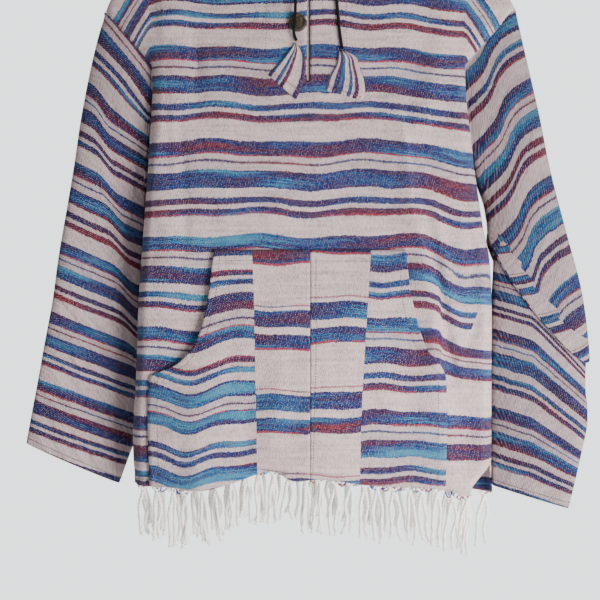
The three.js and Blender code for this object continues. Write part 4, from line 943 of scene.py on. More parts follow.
# the same for the right sleeve down to its elbow, and how far its stripes rise inwards from the edge
RIGHT_REPEATS = [(-40, -1.9), (-135, -1), (-263.5, 0), (-397, 1), (-531, 2), (-664, 3), (-790, 4)]
RIGHT_RISE = [(0, 0), (24, 15), (34, 26), (50, 60), (75, 88), (110, 125), (150, 160)]
FOLD_STRIP = 25                  # width of the turned strip along the elbow's folded edge
FOLD_STRIP_FROM = 262
FOLD_STRIP_REPEAT = 66
FOLD_STRIP_SLANT = 0.004
FOLD_CORNER = (250, -478)
# the same for its lower half, where the stripes first fall inwards and then run level
LOWER_REPEATS = [(-420, 0.2), (-482, 0.52), (-507, 0.73), (-606.5, 2), (-712.5, 3), (-818, 4), (-925, 5)]
LOWER_FALL = [(-520, 0.9), (-627, 0.56), (-700, 0.42), (-800, 0.1), (-900, 0.0)]
LOWER_INNER = 246
LOWER_SLANT = 0.30
LOWER_BEND = 306
SLEEVE_SHIFT = -0.04
# how much painted shade darkens each sleeve's colours, for the shade each hangs in
SLEEVE_PAINTED_SHADE = {"left": 0.21, "right": 0.46}


def right_upper_repeats(x, z):
    """Number of the repeat on the right sleeve above its elbow."""
    rows = [(row[2], row[1]) for row in SLEEVE_RIGHT_UPPER]
    edge_z = z.copy()
    for _ in range(4):
        inwards = np.maximum(at(rows, edge_z, 1) - x, 0)
        edge_z = z + at(RIGHT_RISE, inwards, 1)
    return at(RIGHT_REPEATS, edge_z, 1)


def right_lower_repeats(x, z):
    """Number of the repeat on the right sleeve below its elbow."""
    edge_z = z.copy()
    for _ in range(4):
        fall = at(LOWER_FALL, edge_z, 1) * np.maximum(x - LOWER_BEND, 0)
        edge_z = z + LOWER_SLANT * (x - LOWER_INNER) + fall
    return at(LOWER_REPEATS, edge_z, 1)


def sleeve(is_left):
    """One sleeve as a tube of fine cells, with its stripes."""
    rings = np.array(sleeve_rings(is_left))
    shares = np.linspace(0, 1, SLEEVE_ROWS + 1)
    if not is_left:
        shares = shares ** 0.96
    fine = np.array([spline(line, shares) for line in rings.transpose(1, 0, 2)])
    fine[:, 0] = rings[0]
    length = np.array([run_along(line) for line in fine])
    station = shares * (len(rings) - 1)
    last_upper = len(SEAM_BLEND) + UPPER_SECTIONS
    fold_row = int(np.argmin(np.abs(station - last_upper - 1)))

    def place(column, row):
        points = fine[column, row]
        x, z = points[:, 0], points[:, 2]
        down = length[column, row]
        cloth = np.stack([x, down], axis=-1)
        if is_left:
            return points, cloth, left_repeats(x, z), np.zeros(len(x))
        above_pleat = station[row] < last_upper + 2.5
        repeats = np.where(above_pleat, right_upper_repeats(x, z), right_lower_repeats(x, z))
        to_fold = length[column, fold_row] - down
        turned = (to_fold > -1) & (to_fold < FOLD_STRIP) & (x > FOLD_STRIP_FROM)
        along = np.hypot(x - FOLD_CORNER[0], z - FOLD_CORNER[1])
        strip = along / FOLD_STRIP_REPEAT - to_fold * FOLD_STRIP_SLANT
        return points, cloth, np.stack([repeats, strip], axis=-1), np.where(turned, 1, 0)

    bm = bmesh.new()
    grid_piece(bm, 2 * SLEEVE_HALF_COLUMNS, SLEEVE_ROWS, place, around=True)
    bmesh.ops.recalc_face_normals(bm, faces=bm.faces)
    return bm


for side in ("left", "right"):
    # each sleeve's colours are darkened by its painted shade
    sleeve_cloth = woven_material("striped_cloth_sleeve_" + side, shift=SLEEVE_SHIFT,
                                  depth=SLEEVE_PAINTED_SHADE[side])
    piece = new_piece("sleeve_" + side + "_cloth", sleeve(side == "left"), sleeve_cloth)
    thicken(piece, SLEEVE_CLOTH)
    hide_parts("sleeve_" + side)


# ---------------------------------------------------------------- sewing thread
# Dark cotton thread in runs of hand-guided machine stitches: short raised threads that lie along
# the cloth, hold the facing behind the slit and close the hem.
STITCH_STEP = 3.9
STITCH_LENGTH = 2.7
STITCH_RADIUS = 0.42
STITCH_SIDES = 5
STITCH_LIFT = 0.1
STITCH_DIP = 1.6                 # how many radii a stitch's ends sink into the cloth
THREAD = (58, 44, 60)
# the seams are drawn on a grid over the front: place of its middle, its half width in steps, and
# the millimetres to a step
DRAWING_MIDDLE = (-10.8, -570)
DRAWING_HALF = 300
PX_FRONT = 1.3496


def drawn(points, scale=PX_FRONT):
    """Places on the front from a drawing of it whose grid starts at its upper left."""
    middle_x, middle_z = DRAWING_MIDDLE
    return [(middle_x + (x - DRAWING_HALF) * scale, middle_z + (DRAWING_HALF - y) * scale)
            for x, y in points]


def stitch_spans(length, first=1):
    """Where the stitches of a run lie along it: four stations for each, from end to end."""
    starts = np.arange(first, length - STITCH_LENGTH, STITCH_STEP)
    return [start + STITCH_LENGTH * np.linspace(0, 1, 4) for start in starts]


def run_of_stitches(bm, points, place):
    """Stitches along a line of x and z on a face of the garment; place turns x, z, lift into points."""
    line = np.asarray(points, float)
    length = run_along(line)
    for along in stitch_spans(length[-1]):
        x, z = (np.interp(along, length, line[:, n]) for n in range(2))
        stitch = place(x, z, STITCH_LIFT)
        stitch[[0, -1], 1] += STITCH_RADIUS * STITCH_DIP
        tube(bm, stitch, STITCH_RADIUS, STITCH_SIDES)


def stitches_along(bm, path, first):
    """Stitches along a path in space."""
    length = run_along(path)
    for along in stitch_spans(length[-1], first):
        stitch = np.stack([np.interp(along, length, path[:, n]) for n in range(3)], axis=-1)
        tube(bm, stitch, STITCH_RADIUS, STITCH_SIDES)


def plain_material(name, roughness, colour):
    """A material of one even colour, given in screen values."""
    material, _, shader = new_material(name, roughness)
    shader.inputs["Base Color"].default_value = tone(*colour)
    return material


thread_material = plain_material("sewing_thread", 0.7, THREAD)
PLACKET_TOP = -118
PLACKET_LINES = [[(266, -34), (266, 60), (267, 100), (283, 102), (303, 101)],
                 [(347, -34), (347, 60), (346, 100), (330, 102), (316, 101)]]
HEM_LINES = [[(136, 478), (150, 480), (190, 483)], [(414, 483), (444, 488), (462, 492)]]
bm = bmesh.new()
for line in PLACKET_LINES:
    run_of_stitches(bm, [(x, z) for x, z in drawn(line) if z < PLACKET_TOP], front_point)
for line in HEM_LINES:
    run_of_stitches(bm, drawn(line), front_point)
body_thread = new_piece("body_stitches", bm, thread_material)


# ---------------------------------------------------------------- pocket
# A wide kangaroo pocket of two halves, joined down the middle. Each half is pieced from a
# banded width and a paired width, and it stands off the front a little, as it does when used.
POCKET_TOP = -503
POCKET_END = -815
POCKET_SEAM = 2.7
POCKET_BULGE = 10
POCKET_GAP = 1.1
POCKET_HEM_DROP = 12             # how much lower the hem lies round one place, and how far that reaches
POCKET_DROP_PLACE = -32
POCKET_DROP_HALF = 34
PX_POCKET = 1.3387               # millimetres to a step of the drawing at the pocket's depth
POCKET_EDGE = {
    "left": [(-503, -126), (-536, -130), (-570, -134), (-604, -142), (-631, -153), (-654, -173),
             (-664, -193), (-672, -213), (-840, -213)],
    "right": [(-503, 131), (-536, 134), (-570, 139), (-610, 149), (-637, 159), (-656, 176),
              (-676, 185), (-840, 185)]}
# level and place of the joint between the two widths of each half
POCKET_JOINT = {
    "left": [(-503, -75), (-570, -72.4), (-798, -68.4), (-840, -68)],
    "right": [(-503, 84.2), (-570, 80.2), (-630, 76.2), (-704, 72.2), (-811, 69.5), (-840, 69)]}
POCKET_CREASES = [(-150, -560, -136, -660, 6, 10, 2.6), (-104, -540, -112, -790, 5, 12, -2.2),
                  (-40, -600, -46, -800, 5, 14, 2.0), (34, -560, 44, -790, -5, 12, -1.8),
                  (106, -530, 128, -660, 7, 11, 2.4), (122, -620, 140, -830, 6, 12, -2.4),
                  (-190, -690, -186, -820, 4, 9, 2.0)]
# level of each repeat's start, for the banded and the paired width
POCKET_COUNTS = {
    "left": ([(-450, 2), (-509.5, 1), (-623.5, 0), (-733.3, -1), (-846, -2)],
             [(-469.6, 0), (-583.4, 1), (-697.2, 2), (-811, 3), (-925, 4)]),
    "right": ([(-467, 0), (-592.8, 1), (-718.6, 2), (-844.4, 3)],
              [(-453.5, 0), (-572.7, 1), (-691.8, 2), (-811, 3), (-925, 4)])}
POCKET_SAG = 17                  # how far the left half's stripes dip near its edge
POCKET_SAG_PLACE = -165
POCKET_SAG_HALF = 36
POCKET_SHIFT = {"left": 0.02, "right": 0.12}
POCKET_JOINT_COLUMN = 26
POCKET_COLUMNS = 52
POCKET_ROWS = 84


def pocket_point(side, x, z, v, u):
    """A place on the pocket's outer face."""
    sewn = smooth(-z, 640, 672)
    edge = 1 - sewn * u ** 5 - (1 - sewn) * 0.2 * u ** 2
    inside = np.clip(v, 0.001, 0.999)
    bulge = POCKET_BULGE * np.sin(math.pi * inside) ** 0.6 * edge + v ** 4
    crease = fold_height(POCKET_CREASES, x, z) * np.sin(math.pi * inside) * (1 - u ** 6)
    return front_point(x, z, CLOTH + POCKET_GAP + np.maximum(bulge + crease, 0))


def pocket_hem(x):
    """Level of the pocket's lower edge."""
    drop = POCKET_HEM_DROP * np.exp(-((x - POCKET_DROP_PLACE) / POCKET_DROP_HALF) ** 2)
    return at(HEM["front"], x, 1) - drop + 1


def pocket_half(side):
    """One half of the pocket, from the middle seam to its outer edge."""
    is_left = side == "left"
    seam = POCKET_SEAM + (-HALF_GAP if is_left else HALF_GAP)

    def place(column, row):
        v = row / POCKET_ROWS
        u = column / POCKET_COLUMNS
        guess_z = POCKET_TOP + (POCKET_END - POCKET_TOP) * v
        guess = seam + (at(POCKET_EDGE[side], guess_z, 1) - seam) * u
        z = POCKET_TOP + (pocket_hem(guess) - POCKET_TOP) * v
        edge_x = at(POCKET_EDGE[side], z, 1)
        joint_x = at(POCKET_JOINT[side], z, 1)
        in_first = column < POCKET_JOINT_COLUMN
        near = seam + (joint_x - seam) * column / POCKET_JOINT_COLUMN
        beyond = (column - POCKET_JOINT_COLUMN) / (POCKET_COLUMNS - POCKET_JOINT_COLUMN)
        x = np.where(in_first, near, joint_x + (edge_x - joint_x) * beyond)
        u = (x - seam) / (edge_x - seam)
        points = pocket_point(side, x, z, v, u)
        waves = 2.0 * np.sin(x / 23 + z / 60) + 1.2 * np.sin(x / 11 - z / 47)
        sag = POCKET_SAG * np.exp(-((x - POCKET_SAG_PLACE) / POCKET_SAG_HALF) ** 2) if is_left else 0
        banded, paired = POCKET_COUNTS[side]
        counts = np.stack([at(banded, z + waves + sag, 1), at(paired, z + waves * 0.7, 1)], axis=-1)
        cloth = np.stack([x + 40, -z + 13], axis=-1)
        return points, cloth, counts, np.where(in_first, 1, 0)

    bm = bmesh.new()
    grid_piece(bm, POCKET_COLUMNS, POCKET_ROWS, place)
    face_outwards(bm, (0, 400, -650))
    return bm


def on_pocket(x, z, lift):
    """A place above the pocket's outer face."""
    side = "left" if np.mean(x) < POCKET_SEAM else "right"
    edge_x = at(POCKET_EDGE[side], z, 1)
    u = np.clip((x - POCKET_SEAM) / (edge_x - POCKET_SEAM), 0, 1)
    v = np.clip((z - POCKET_TOP) / (pocket_hem(x) - POCKET_TOP), 0, 1)
    return pocket_point(side, x, z, v, u) + np.array([0, -lift, 0])


for side in ("left", "right"):
    pocket_cloth = woven_material("striped_cloth_pocket_" + side, shift=POCKET_SHIFT[side])
    piece = new_piece("pocket_" + side + "_cloth", pocket_half(side), pocket_cloth)
    thicken(piece, CLOTH)
    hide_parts("pocket_" + side)

POCKET_LINES = [
    [(221, 261), (260, 260), (306, 261)], [(312, 261), (350, 261), (399, 262)],
    [(220, 253), (218, 277), (215, 302), (209, 327), (201, 347), (186, 365), (171, 374), (158, 379)],
    [(400, 262), (402, 300), (407, 325), (415, 345), (428, 362), (440, 374)],
    [(157, 380), (157, 430), (158, 482)], [(316, 255), (316, 360), (313, 474)],
    [(258, 470), (284, 473), (307, 476)], [(312, 472), (360, 481), (413, 486)],
    [(438, 378), (438, 430), (438, 482)]]
bm = bmesh.new()
for line in POCKET_LINES:
    run_of_stitches(bm, drawn(line, PX_POCKET), on_pocket)
pocket_thread = new_piece("pocket_stitches", bm, thread_material)


# ---------------------------------------------------------------- placket facing
# A strip of plain pale cloth backs the slit at the neck. It is slit together with the front and
# sewn on by the two long lines of stitches beside the slit.
FACING_LEFT = -58
FACING_RIGHT = 53
FACING_END = -308
FACING_SLIT = {"left": 1.7, "right": 2.4}
FACING_CLOTH = 1.4
FACING_NECK_INSET = 5
LAID_GAP = 0.7
FACING_HALF_COLUMNS = 14
FACING_ROWS = 44
FACING_END_ROWS = 6              # of these, below the slit


def facing_place(column, row):
    """The facing lies just inside the front, and its edges follow the slit."""
    is_left = column <= FACING_HALF_COLUMNS
    away = np.where(is_left, FACING_HALF_COLUMNS - column, column - FACING_HALF_COLUMNS - 1)
    start = np.where(is_left, FACING_SLIT["left"], FACING_SLIT["right"])
    end = np.where(is_left, FACING_LEFT, FACING_RIGHT)
    x = start + (end - start) * away / FACING_HALF_COLUMNS
    top = NECK_TOP - NECK_DROP["front"] * (1 - (x / NECK_HALF) ** 2) - FACING_NECK_INSET
    to_slit = np.clip(row / (FACING_ROWS - FACING_END_ROWS), 0, 1)
    below = np.clip((row - FACING_ROWS + FACING_END_ROWS) / FACING_END_ROWS, 0, 1)
    z = top + (SLIT_END - top) * to_slit + (FACING_END - SLIT_END) * below
    points = front_point(x, z, -CLOTH - LAID_GAP)
    return points, np.stack([x, -z], axis=-1), np.zeros(len(x)), np.full(len(x), -1)


bm = bmesh.new()
facing_column, _ = grid_piece(bm, 2 * FACING_HALF_COLUMNS + 1, FACING_ROWS, facing_place)
open_slit(bm, facing_column, FACING_HALF_COLUMNS)
face_outwards(bm, (0, 400, -200))
# the facing's plain pale cloth is darkened by painted shade, for the shade inside the slit
facing_cloth = woven_material("plain_facing_cloth", dye=0.0, depth=0.3)
facing = new_piece("placket_lining", bm, facing_cloth)
thicken(facing, FACING_CLOTH)
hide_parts("placket_facing")


# ---------------------------------------------------------------- hood
# Two halves, joined over the crown. At the front they stand as a low collar round the neck,
# and behind it the hood falls down the back as a soft empty bag.
# share of the way to the centre back, rise, reach, how far it is a bag, and its drop
HOOD = [(0.0, 20, 2, 0.0, 0), (0.2, 24, 8, 0.0, 0), (0.4, 24, 20, 0.0, 0), (0.52, 20, 34, 0.05, 20),
        (0.64, 17, 52, 0.4, 60), (0.76, 15, 68, 0.85, 140), (0.88, 13, 76, 1.0, 205),
        (1.0, 12, 79, 1.0, 228)]
HOOD_START = 8
HOOD_ROLL = 22
HOOD_SEAM_LIFT = 0.6
HOOD_STRIPE_SLANT = 20           # how far the stripes fall from the slit to the centre back
HOOD_STRIPE_START = 0.42
HOOD_STATIONS = 72
HOOD_STEPS = 40
NECK_STATIONS = [0.36, 0.7, 0.93, 1]


def neck_seam(is_left, q):
    """The seam between hood and body, from beside the slit to the centre back."""
    sign = -1 if is_left else 1
    face = "front" if q < 0.5 else "back"
    share = q * 2 if q < 0.5 else (1 - q) * 2
    slit = SLIT["left" if is_left else "right"]
    start = abs(slit) + HOOD_START if q < 0.5 else HALF_GAP
    x = (start + (NECK_HALF - start) * math.sin(share * math.pi / 2)) * sign
    core = -CORE_TOP if is_left else CORE_TOP
    shares = [0.0] + [(sign * NECK_HALF * k - slit) / (core - slit) for k in NECK_STATIONS]
    flat = np.array([s for s in shares if s >= 0] + [1.0])
    line = top_point(face, np.full(len(flat), is_left), flat, np.zeros(len(flat)))
    order = np.argsort(line[:, 0])
    place = [np.interp(x, line[order, 0], line[order, n]) for n in range(3)]
    return np.array(place) + [0, 0, HOOD_SEAM_LIFT]


def hood_section(is_left, q):
    """One line of the hood, from the neck seam to its face edge."""
    seam = neck_seam(is_left, q)
    turn = float(smooth(q, 0.1, 0.95)) * math.pi
    away = np.array([(-1 if is_left else 1) * math.sin(turn), -math.cos(turn), 0])
    rise, reach, bag, drop = (float(at(HOOD, q, k)) for k in range(1, 5))

    def place(out, up):
        return seam + away * out + [0, 0, up]

    collar = [place(reach * (k / 5) ** 1.6, rise * k / 5) for k in range(6)]
    bags = [place(0, 0), place(HOOD_ROLL * 0.45, 12), place(HOOD_ROLL + 2, -drop * 0.45),
            place((HOOD_ROLL + reach) / 2, -drop), place(reach, -drop * 0.45), place(reach * 0.97, rise)]
    control = np.array(collar) * (1 - bag) + np.array(bags) * bag
    line = spline(control, np.linspace(0, 1, HOOD_STEPS + 1))
    if q == 1:
        line[:, 0] = seam[0]
    return line


def hood_half(is_left):
    """One half of the hood as a shell of fine cells, a little rippled."""
    lines = np.array([hood_section(is_left, q) for q in np.linspace(0, 1, HOOD_STATIONS + 1)])
    across = np.gradient(lines, axis=1)
    along = np.gradient(lines, axis=0)
    normals = np.cross(across, along)
    normals /= np.maximum(np.linalg.norm(normals, axis=2, keepdims=True), 1e-9)
    side = 1 if is_left else -1
    q = np.linspace(0, 1, HOOD_STATIONS + 1)[:, None]
    s = np.linspace(0, 1, HOOD_STEPS + 1)[None, :]
    ripple = 0.5 * np.sin(q * 31 + s * 5) + 0.4 * np.sin(q * 17 - s * 9 + side)
    ripple = ripple * np.sin(math.pi * s) * np.sin(math.pi * q)
    lines = lines + normals * side * ripple[..., None]
    length = np.array([run_along(line) for line in lines])
    round_neck = run_along(lines[:, 0])

    def place(column, row):
        slant = HOOD_STRIPE_SLANT * (1 - row / HOOD_STATIONS)
        count = (length[row, column] + slant) / REPEAT + HOOD_STRIPE_START
        cloth = np.stack([round_neck[row], length[row, column]], axis=-1)
        return lines[row, column], cloth, count, np.zeros(len(row))

    bm = bmesh.new()
    grid_piece(bm, HOOD_STEPS, HOOD_STATIONS, place)
    bm.normal_update()
    bm.verts.ensure_lookup_table()
    face = next(iter(bm.faces))
    corner = np.array(face.calc_center_median())
    nearest = np.unravel_index(np.argmin(np.linalg.norm(lines - corner, axis=2)), lines.shape[:2])
    if np.dot(normals[nearest] * side, np.array(face.normal)) < 0:
        bmesh.ops.reverse_faces(bm, faces=bm.faces)
    return bm


for side in ("left", "right"):
    piece = new_piece("hood_" + side + "_cloth", hood_half(side == "left"),
                      woven_material("striped_cloth_hood_" + side, shift=0.06))
    thicken(piece, CLOTH)
    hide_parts("hood_" + side)


# ---------------------------------------------------------------- cord tabs
# Squares of the striped cloth, folded over the ends of the drawstring and sewn shut along their
# lower edges, so that the cord can't slip back into its casing.
# edges from the top to the bottom corners, as x and z
TAB_EDGES = {
    "left": ([(-18, -223.4), (-22, -229), (-34, -243), (-45, -255), (-54, -266)],
             [(-16, -222.6), (-9.5, -230), (-4, -242), (-2.7, -257), (-5.4, -276), (-16.2, -300)]),
    "right": ([(42, -233.5), (37.8, -253), (29.7, -266), (23, -287)],
              [(51, -233.5), (64.8, -241), (69, -253), (75.6, -273), (77, -293), (74, -301)])}
TAB_THICK = 4.6
TAB_COLUMNS = 20
TAB_ROWS = 34
TAB_LENGTH = 62                  # of the cloth, and its width and the step of its weave on the under side
TAB_WIDTH = 44
TAB_UNDER = 9
# share of the width at which the stripes start and how much of a repeat crosses the tab
TAB_STRIPES = {"left": (0.44, 0.66), "right": (0.20, 0.72)}


def tab_points(side, u, v, height):
    """Places between a tab's two edges at a height above the front."""
    low, high = (spline([(x, 0, z) for x, z in edge], v) for edge in TAB_EDGES[side])
    middle = low + (high - low) * u[:, None]
    return front_point(middle[:, 0], middle[:, 2], LAID_GAP + height)


for side in ("left", "right"):
    def place(column, row, side=side):
        u = np.where(column <= TAB_COLUMNS, column, 2 * TAB_COLUMNS - column) / TAB_COLUMNS
        v = row / TAB_ROWS
        under = column > TAB_COLUMNS
        pillow = np.clip(1 - np.abs(2 * u - 1) ** 5, 0, 1) ** 0.5
        pinch = np.clip(np.minimum(v / 0.1, (1 - v) / 0.05), 0, 1) ** 0.5
        folds = 0.55 + 0.25 * np.cos(u * 11 + v * 1.6) * (1 - v * 0.5) + 0.2 * np.sin(u * 5 + v * 4)
        height = TAB_THICK * pillow * (0.3 + 0.7 * pinch) * np.where(under, 0.05, folds + 0.1)
        points = tab_points(side, u, v, height)
        start, spread = TAB_STRIPES[side]
        cloth = np.stack([v * TAB_LENGTH, u * TAB_WIDTH + np.where(under, TAB_UNDER, 0)], axis=-1)
        return points, cloth, start + spread * u, np.zeros(len(u))

    bm = bmesh.new()
    grid_piece(bm, 2 * TAB_COLUMNS, TAB_ROWS, place, around=True)
    bmesh.ops.holes_fill(bm, edges=[e for e in bm.edges if e.is_boundary])
    bmesh.ops.recalc_face_normals(bm, faces=bm.faces)
    tab_material = woven_material("striped_cloth_tab_" + side, shift=0.03)
    piece = new_piece("cord_tab_" + side, bm, tab_material)
    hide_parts("tab_" + side)

# a line of dark red stitches closes the lower edge of each tab
TAB_THREAD = (110, 24, 40)
TAB_SEAM = {"left": 0.9, "right": 0.92}   # share of the way down the tab
TAB_SEAM_ENDS = (0.06, 0.94)
TAB_SEAM_STATIONS = 60
red_thread = plain_material("dark_red_thread", 0.8, TAB_THREAD)
bm = bmesh.new()
for side, share in TAB_SEAM.items():
    across = np.linspace(*TAB_SEAM_ENDS, TAB_SEAM_STATIONS)
    stitches_along(bm, tab_points(side, across, np.full(TAB_SEAM_STATIONS, share), TAB_THICK * 1.02), 0)
new_piece("tab_stitches", bm, red_thread)

for side in ("left", "right"):
    piece, path = cord_pieces["drawstring_" + side]
    route = [tuple(float(c) * MM for c in p) for p in path]
    length = sum(math.dist(a, b) for a, b in zip(route, route[1:]))
    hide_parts("cord_" + side)


# ---------------------------------------------------------------- button
# A dark mottled button of coconut shell or plastic with four holes, sewn on beside the slit by a
# cross of brown thread.
BUTTON_PLACE = (-14.2, -194.7)
BUTTON_HOLE_SPREAD = 3
BUTTON_FACE = 3.4
BUTTON_THREAD = 0.5              # radius
BUTTON_THREAD_SINK = 1.5
HORN_DARK = (20, 15, 11)
HORN_LIGHT = (76, 59, 36)
BROWN_THREAD = (60, 44, 34)
HORN_CLOUDS = 260
HORN_LEAST = 0.38
HORN_GAIN = 3.4


def clouds(tree, scale, detail, stretch=(1, 1, 1)):
    """Noise on a piece's own coordinates; returns its value socket."""
    spot = node(tree, "ShaderNodeTexCoord", (-1200, 0))
    space = node(tree, "ShaderNodeMapping", (-1000, 0))
    space.inputs["Scale"].default_value = stretch
    made = node(tree, "ShaderNodeTexNoise", (-800, 0))
    made.inputs["Scale"].default_value = scale
    made.inputs["Detail"].default_value = detail
    tree.links.new(spot.outputs["Object"], space.inputs["Vector"])
    tree.links.new(space.outputs[0], made.inputs["Vector"])
    return made.outputs["Fac"]


def finish_node(name, material):
    """Gives a solid of the frame its material."""
    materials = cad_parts[name].data.materials
    materials.clear()
    materials.append(material)


horn, tree, shader = new_material("mottled_brown_button", 0.45)
shader.inputs["Coat Weight"].default_value = 0.1
shader.inputs["Coat Roughness"].default_value = 0.3
mottle = maths(tree, "SUBTRACT", clouds(tree, HORN_CLOUDS, 4), HORN_LEAST)
mottle = maths(tree, "MULTIPLY", mottle, HORN_GAIN, clamp=True)
tree.links.new(blended(tree, mottle, tone(*HORN_DARK), tone(*HORN_LIGHT)), shader.inputs["Base Color"])
finish_node("button", horn)

brown_thread = plain_material("brown_thread", 0.8, BROWN_THREAD)
bm = bmesh.new()
button_x, button_z = BUTTON_PLACE
button_back = float(cloth_depth("front", button_x, button_z)) + LAID_GAP
for turn in (math.pi / 4, 3 * math.pi / 4):
    reach = np.linspace(-1, 1, 9) * BUTTON_HOLE_SPREAD
    out = button_back + BUTTON_FACE - BUTTON_THREAD_SINK * (np.abs(reach) / BUTTON_HOLE_SPREAD) ** 6
    path = np.stack([button_x + reach * math.cos(turn), -out, button_z + reach * math.sin(turn)], axis=-1)
    tube(bm, path, BUTTON_THREAD, 7)
new_piece("button_thread", bm, brown_thread)


# ---------------------------------------------------------------- fringe
# The warp ends are left long at the hem and knotted in bunches of loose two-ply yarns. They are
# undyed cotton, and whiter than the cloth because no weft covers them.
FRINGE_YARN = 1.75               # radius of one of the two plies
YARN_TWIST = 9.0                 # length of one turn of the plies
YARN_STATIONS = 26
FRINGE_KNOTS = {"front": 23, "back": 21}
KNOT_SIZE = (3.6, 2.4, 3.0)
FRINGE_LEVEL = -825
FRINGE_INSET = 7                 # from a panel's side edge to its outermost knots
FRINGE_FALL = {"front": (68, 84), "back": (66, 78)}   # length at the left and at the right
FRINGE_SAG = 15                  # how much lower the yarns end round one place
FRINGE_SAG_PLACE = -165
FRINGE_SAG_HALF = 55
COTTON_SHADE = (246, 239, 230)
COTTON_WHITE = (255, 253, 248)
COTTON_RELIEF = 0.0005

cotton, tree, shader = new_material("white_cotton_yarn", 0.9)
shader.inputs["Sheen Weight"].default_value = 0.3
shader.inputs["Sheen Roughness"].default_value = 0.5
yarn_uv = node(tree, "ShaderNodeUVMap", (-1000, 0), uv_map="cloth")
yarn_xy = node(tree, "ShaderNodeSeparateXYZ", (-850, 0))
tree.links.new(yarn_uv.outputs[0], yarn_xy.inputs[0])
fibres = streaks(tree, yarn_xy.outputs[0], yarn_xy.outputs[1], 9, 260, 2.0)
tree.links.new(blended(tree, fibres, tone(*COTTON_SHADE), tone(*COTTON_WHITE)), shader.inputs["Base Color"])
add_bump(tree, shader, fibres, COTTON_RELIEF, 0.6)


def yarn(bm, route, random):
    """Two plies twisted round a route, thinning to a frayed end."""
    line = spline(route, np.linspace(0, 1, YARN_STATIONS))
    length = run_along(line)
    phase = random.uniform(0, 6)
    for ply in (0, math.pi):
        angle = phase + ply + length * 2 * math.pi / YARN_TWIST
        spread = FRINGE_YARN * (0.72 + 0.9 * (length / length[-1]) ** 6)
        round_line = line + np.stack([np.cos(angle) * spread, np.sin(angle) * spread, 0 * angle], axis=-1)
        tube(bm, round_line, FRINGE_YARN * (1 - 0.45 * (length / length[-1]) ** 8), 6)


def fringe(face):
    """Bunches of yarn along the hem of one panel."""
    random = np.random.default_rng(7 if face == "front" else 19)
    away = -1 if face == "front" else 1
    least, most = FRINGE_FALL[face]
    edge_left = float(side_edge(face, True, float(FRINGE_LEVEL))) + FRINGE_INSET
    edge_right = float(side_edge(face, False, float(FRINGE_LEVEL))) - FRINGE_INSET
    wide, deep, high = KNOT_SIZE
    bm = bmesh.new()
    for k, share in enumerate(np.linspace(0.008, 0.992, FRINGE_KNOTS[face])):
        x = edge_left + (edge_right - edge_left) * share + random.uniform(-2.5, 2.5)
        z = float(at(HEM[face], x, 1))
        depth = float(cloth_depth(face, x, z + 2))
        near_edge = min(x - edge_left + FRINGE_INSET, edge_right + FRINGE_INSET - x) / 20
        depth *= math.sqrt(min(max(near_edge, 0.25), 1))
        y = away * (depth - 1)
        sway = 5 * math.sin(share * 11 + away) + random.uniform(-5, 5)
        fall = least + (most - least) * share + random.uniform(-6, 5)
        fall += FRINGE_SAG * math.exp(-((x - FRINGE_SAG_PLACE) / FRINGE_SAG_HALF) ** 2)
        knot_z = z - random.uniform(4.5, 7)
        knot = bmesh.ops.create_icosphere(bm, subdivisions=2, radius=1)
        for v in knot["verts"]:
            swirl = 1 + 0.18 * math.sin(5 * v.co.x + 7 * v.co.z + k)
            v.co = Vector((x + v.co.x * wide * swirl, y + v.co.y * deep * swirl,
                           knot_z + v.co.z * high * swirl))
        for side in (-1, 1):
            root = random.uniform(5, 8) * side
            top_y = y - away * 0.4
            beside = (x + root * 0.6, y + away * 0.6, z - 2.2)
            yarn(bm, [(x + root, top_y, z - 0.6), beside, (x, y, knot_z)], random)
        count = 3 if random.uniform() < 0.55 else 2
        for n in range(count):
            side = (n - (count - 1) / 2) * 2 / max(count - 1, 1)
            side += random.uniform(-0.3, 0.3)
            end = fall * random.uniform(0.86, 1.0)
            route = [(x, y, knot_z),
                     (x + side * 2.6 + sway * 0.1, y + away * random.uniform(-1, 1.5), z - 16),
                     (x + side * 4.6 + sway * 0.4 + random.uniform(-2, 2), y + away * random.uniform(-2, 2.5),
                      z - end * 0.42),
                     (x + side * 4.2 + sway * 0.7 + random.uniform(-3.5, 3.5),
                      y + away * random.uniform(-2, 2.5),
                      z - end * 0.72),
                     (x + side * 5.2 + sway + random.uniform(-3, 3),
                      y - away * random.uniform(-1, 3), z - end)]
            yarn(bm, route, random)
    return bm


for face in ("front", "back"):
    piece = new_piece("fringe_" + face + "_yarns", fringe(face), cotton)
    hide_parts("fringe_" + face)

# short loops of the dyed weft that were caught in the hem
LOOP_TONES = {"navy": (24, 34, 110), "crimson": (150, 36, 66), "teal": (40, 120, 160)}
LOOPS = 16                       # of each colour
LOOP_RADIUS = 0.75
for number, (name, colour) in enumerate(LOOP_TONES.items()):
    loop_material = plain_material(name + "_weft", 0.9, colour)
    random = np.random.default_rng(40 + number)
    bm = bmesh.new()
    for x in np.sort(random.uniform(-222, 224, LOOPS)):
        z = float(at(HEM["front"], x, 1))
        edge_share = min((x + 238) / 20, (222 - x) / 20, 1)
        y = -float(cloth_depth("front", x, z)) * math.sqrt(max(edge_share, 0.3)) - 0.4
        wide, deep = random.uniform(2.5, 6), random.uniform(3, 8)
        lean = random.uniform(-3, 3)
        arc = [(x - wide, y + 1, z + 0.6), (x - wide * 0.8, y - 0.4, z - deep * 0.6),
               (x + lean, y - 0.6, z - deep), (x + wide * 0.8, y - 0.4, z - deep * 0.5),
               (x + wide, y + 1, z + 0.6)]
        tube(bm, spline(arc, np.linspace(0, 1, 14)), LOOP_RADIUS, 6)
    new_piece(name + "_loops", bm, loop_material)


# ---------------------------------------------------------------- cuff seams
# The ends of the sleeves are turned up once and sewn down by a ring of stitches, in the same dark
# thread as the seams of the front.
CUFF_TURN = 8                    # height of the stitches above the sleeve's end
CUFF_LIFT = 0.25
CUFF_STATIONS = 240


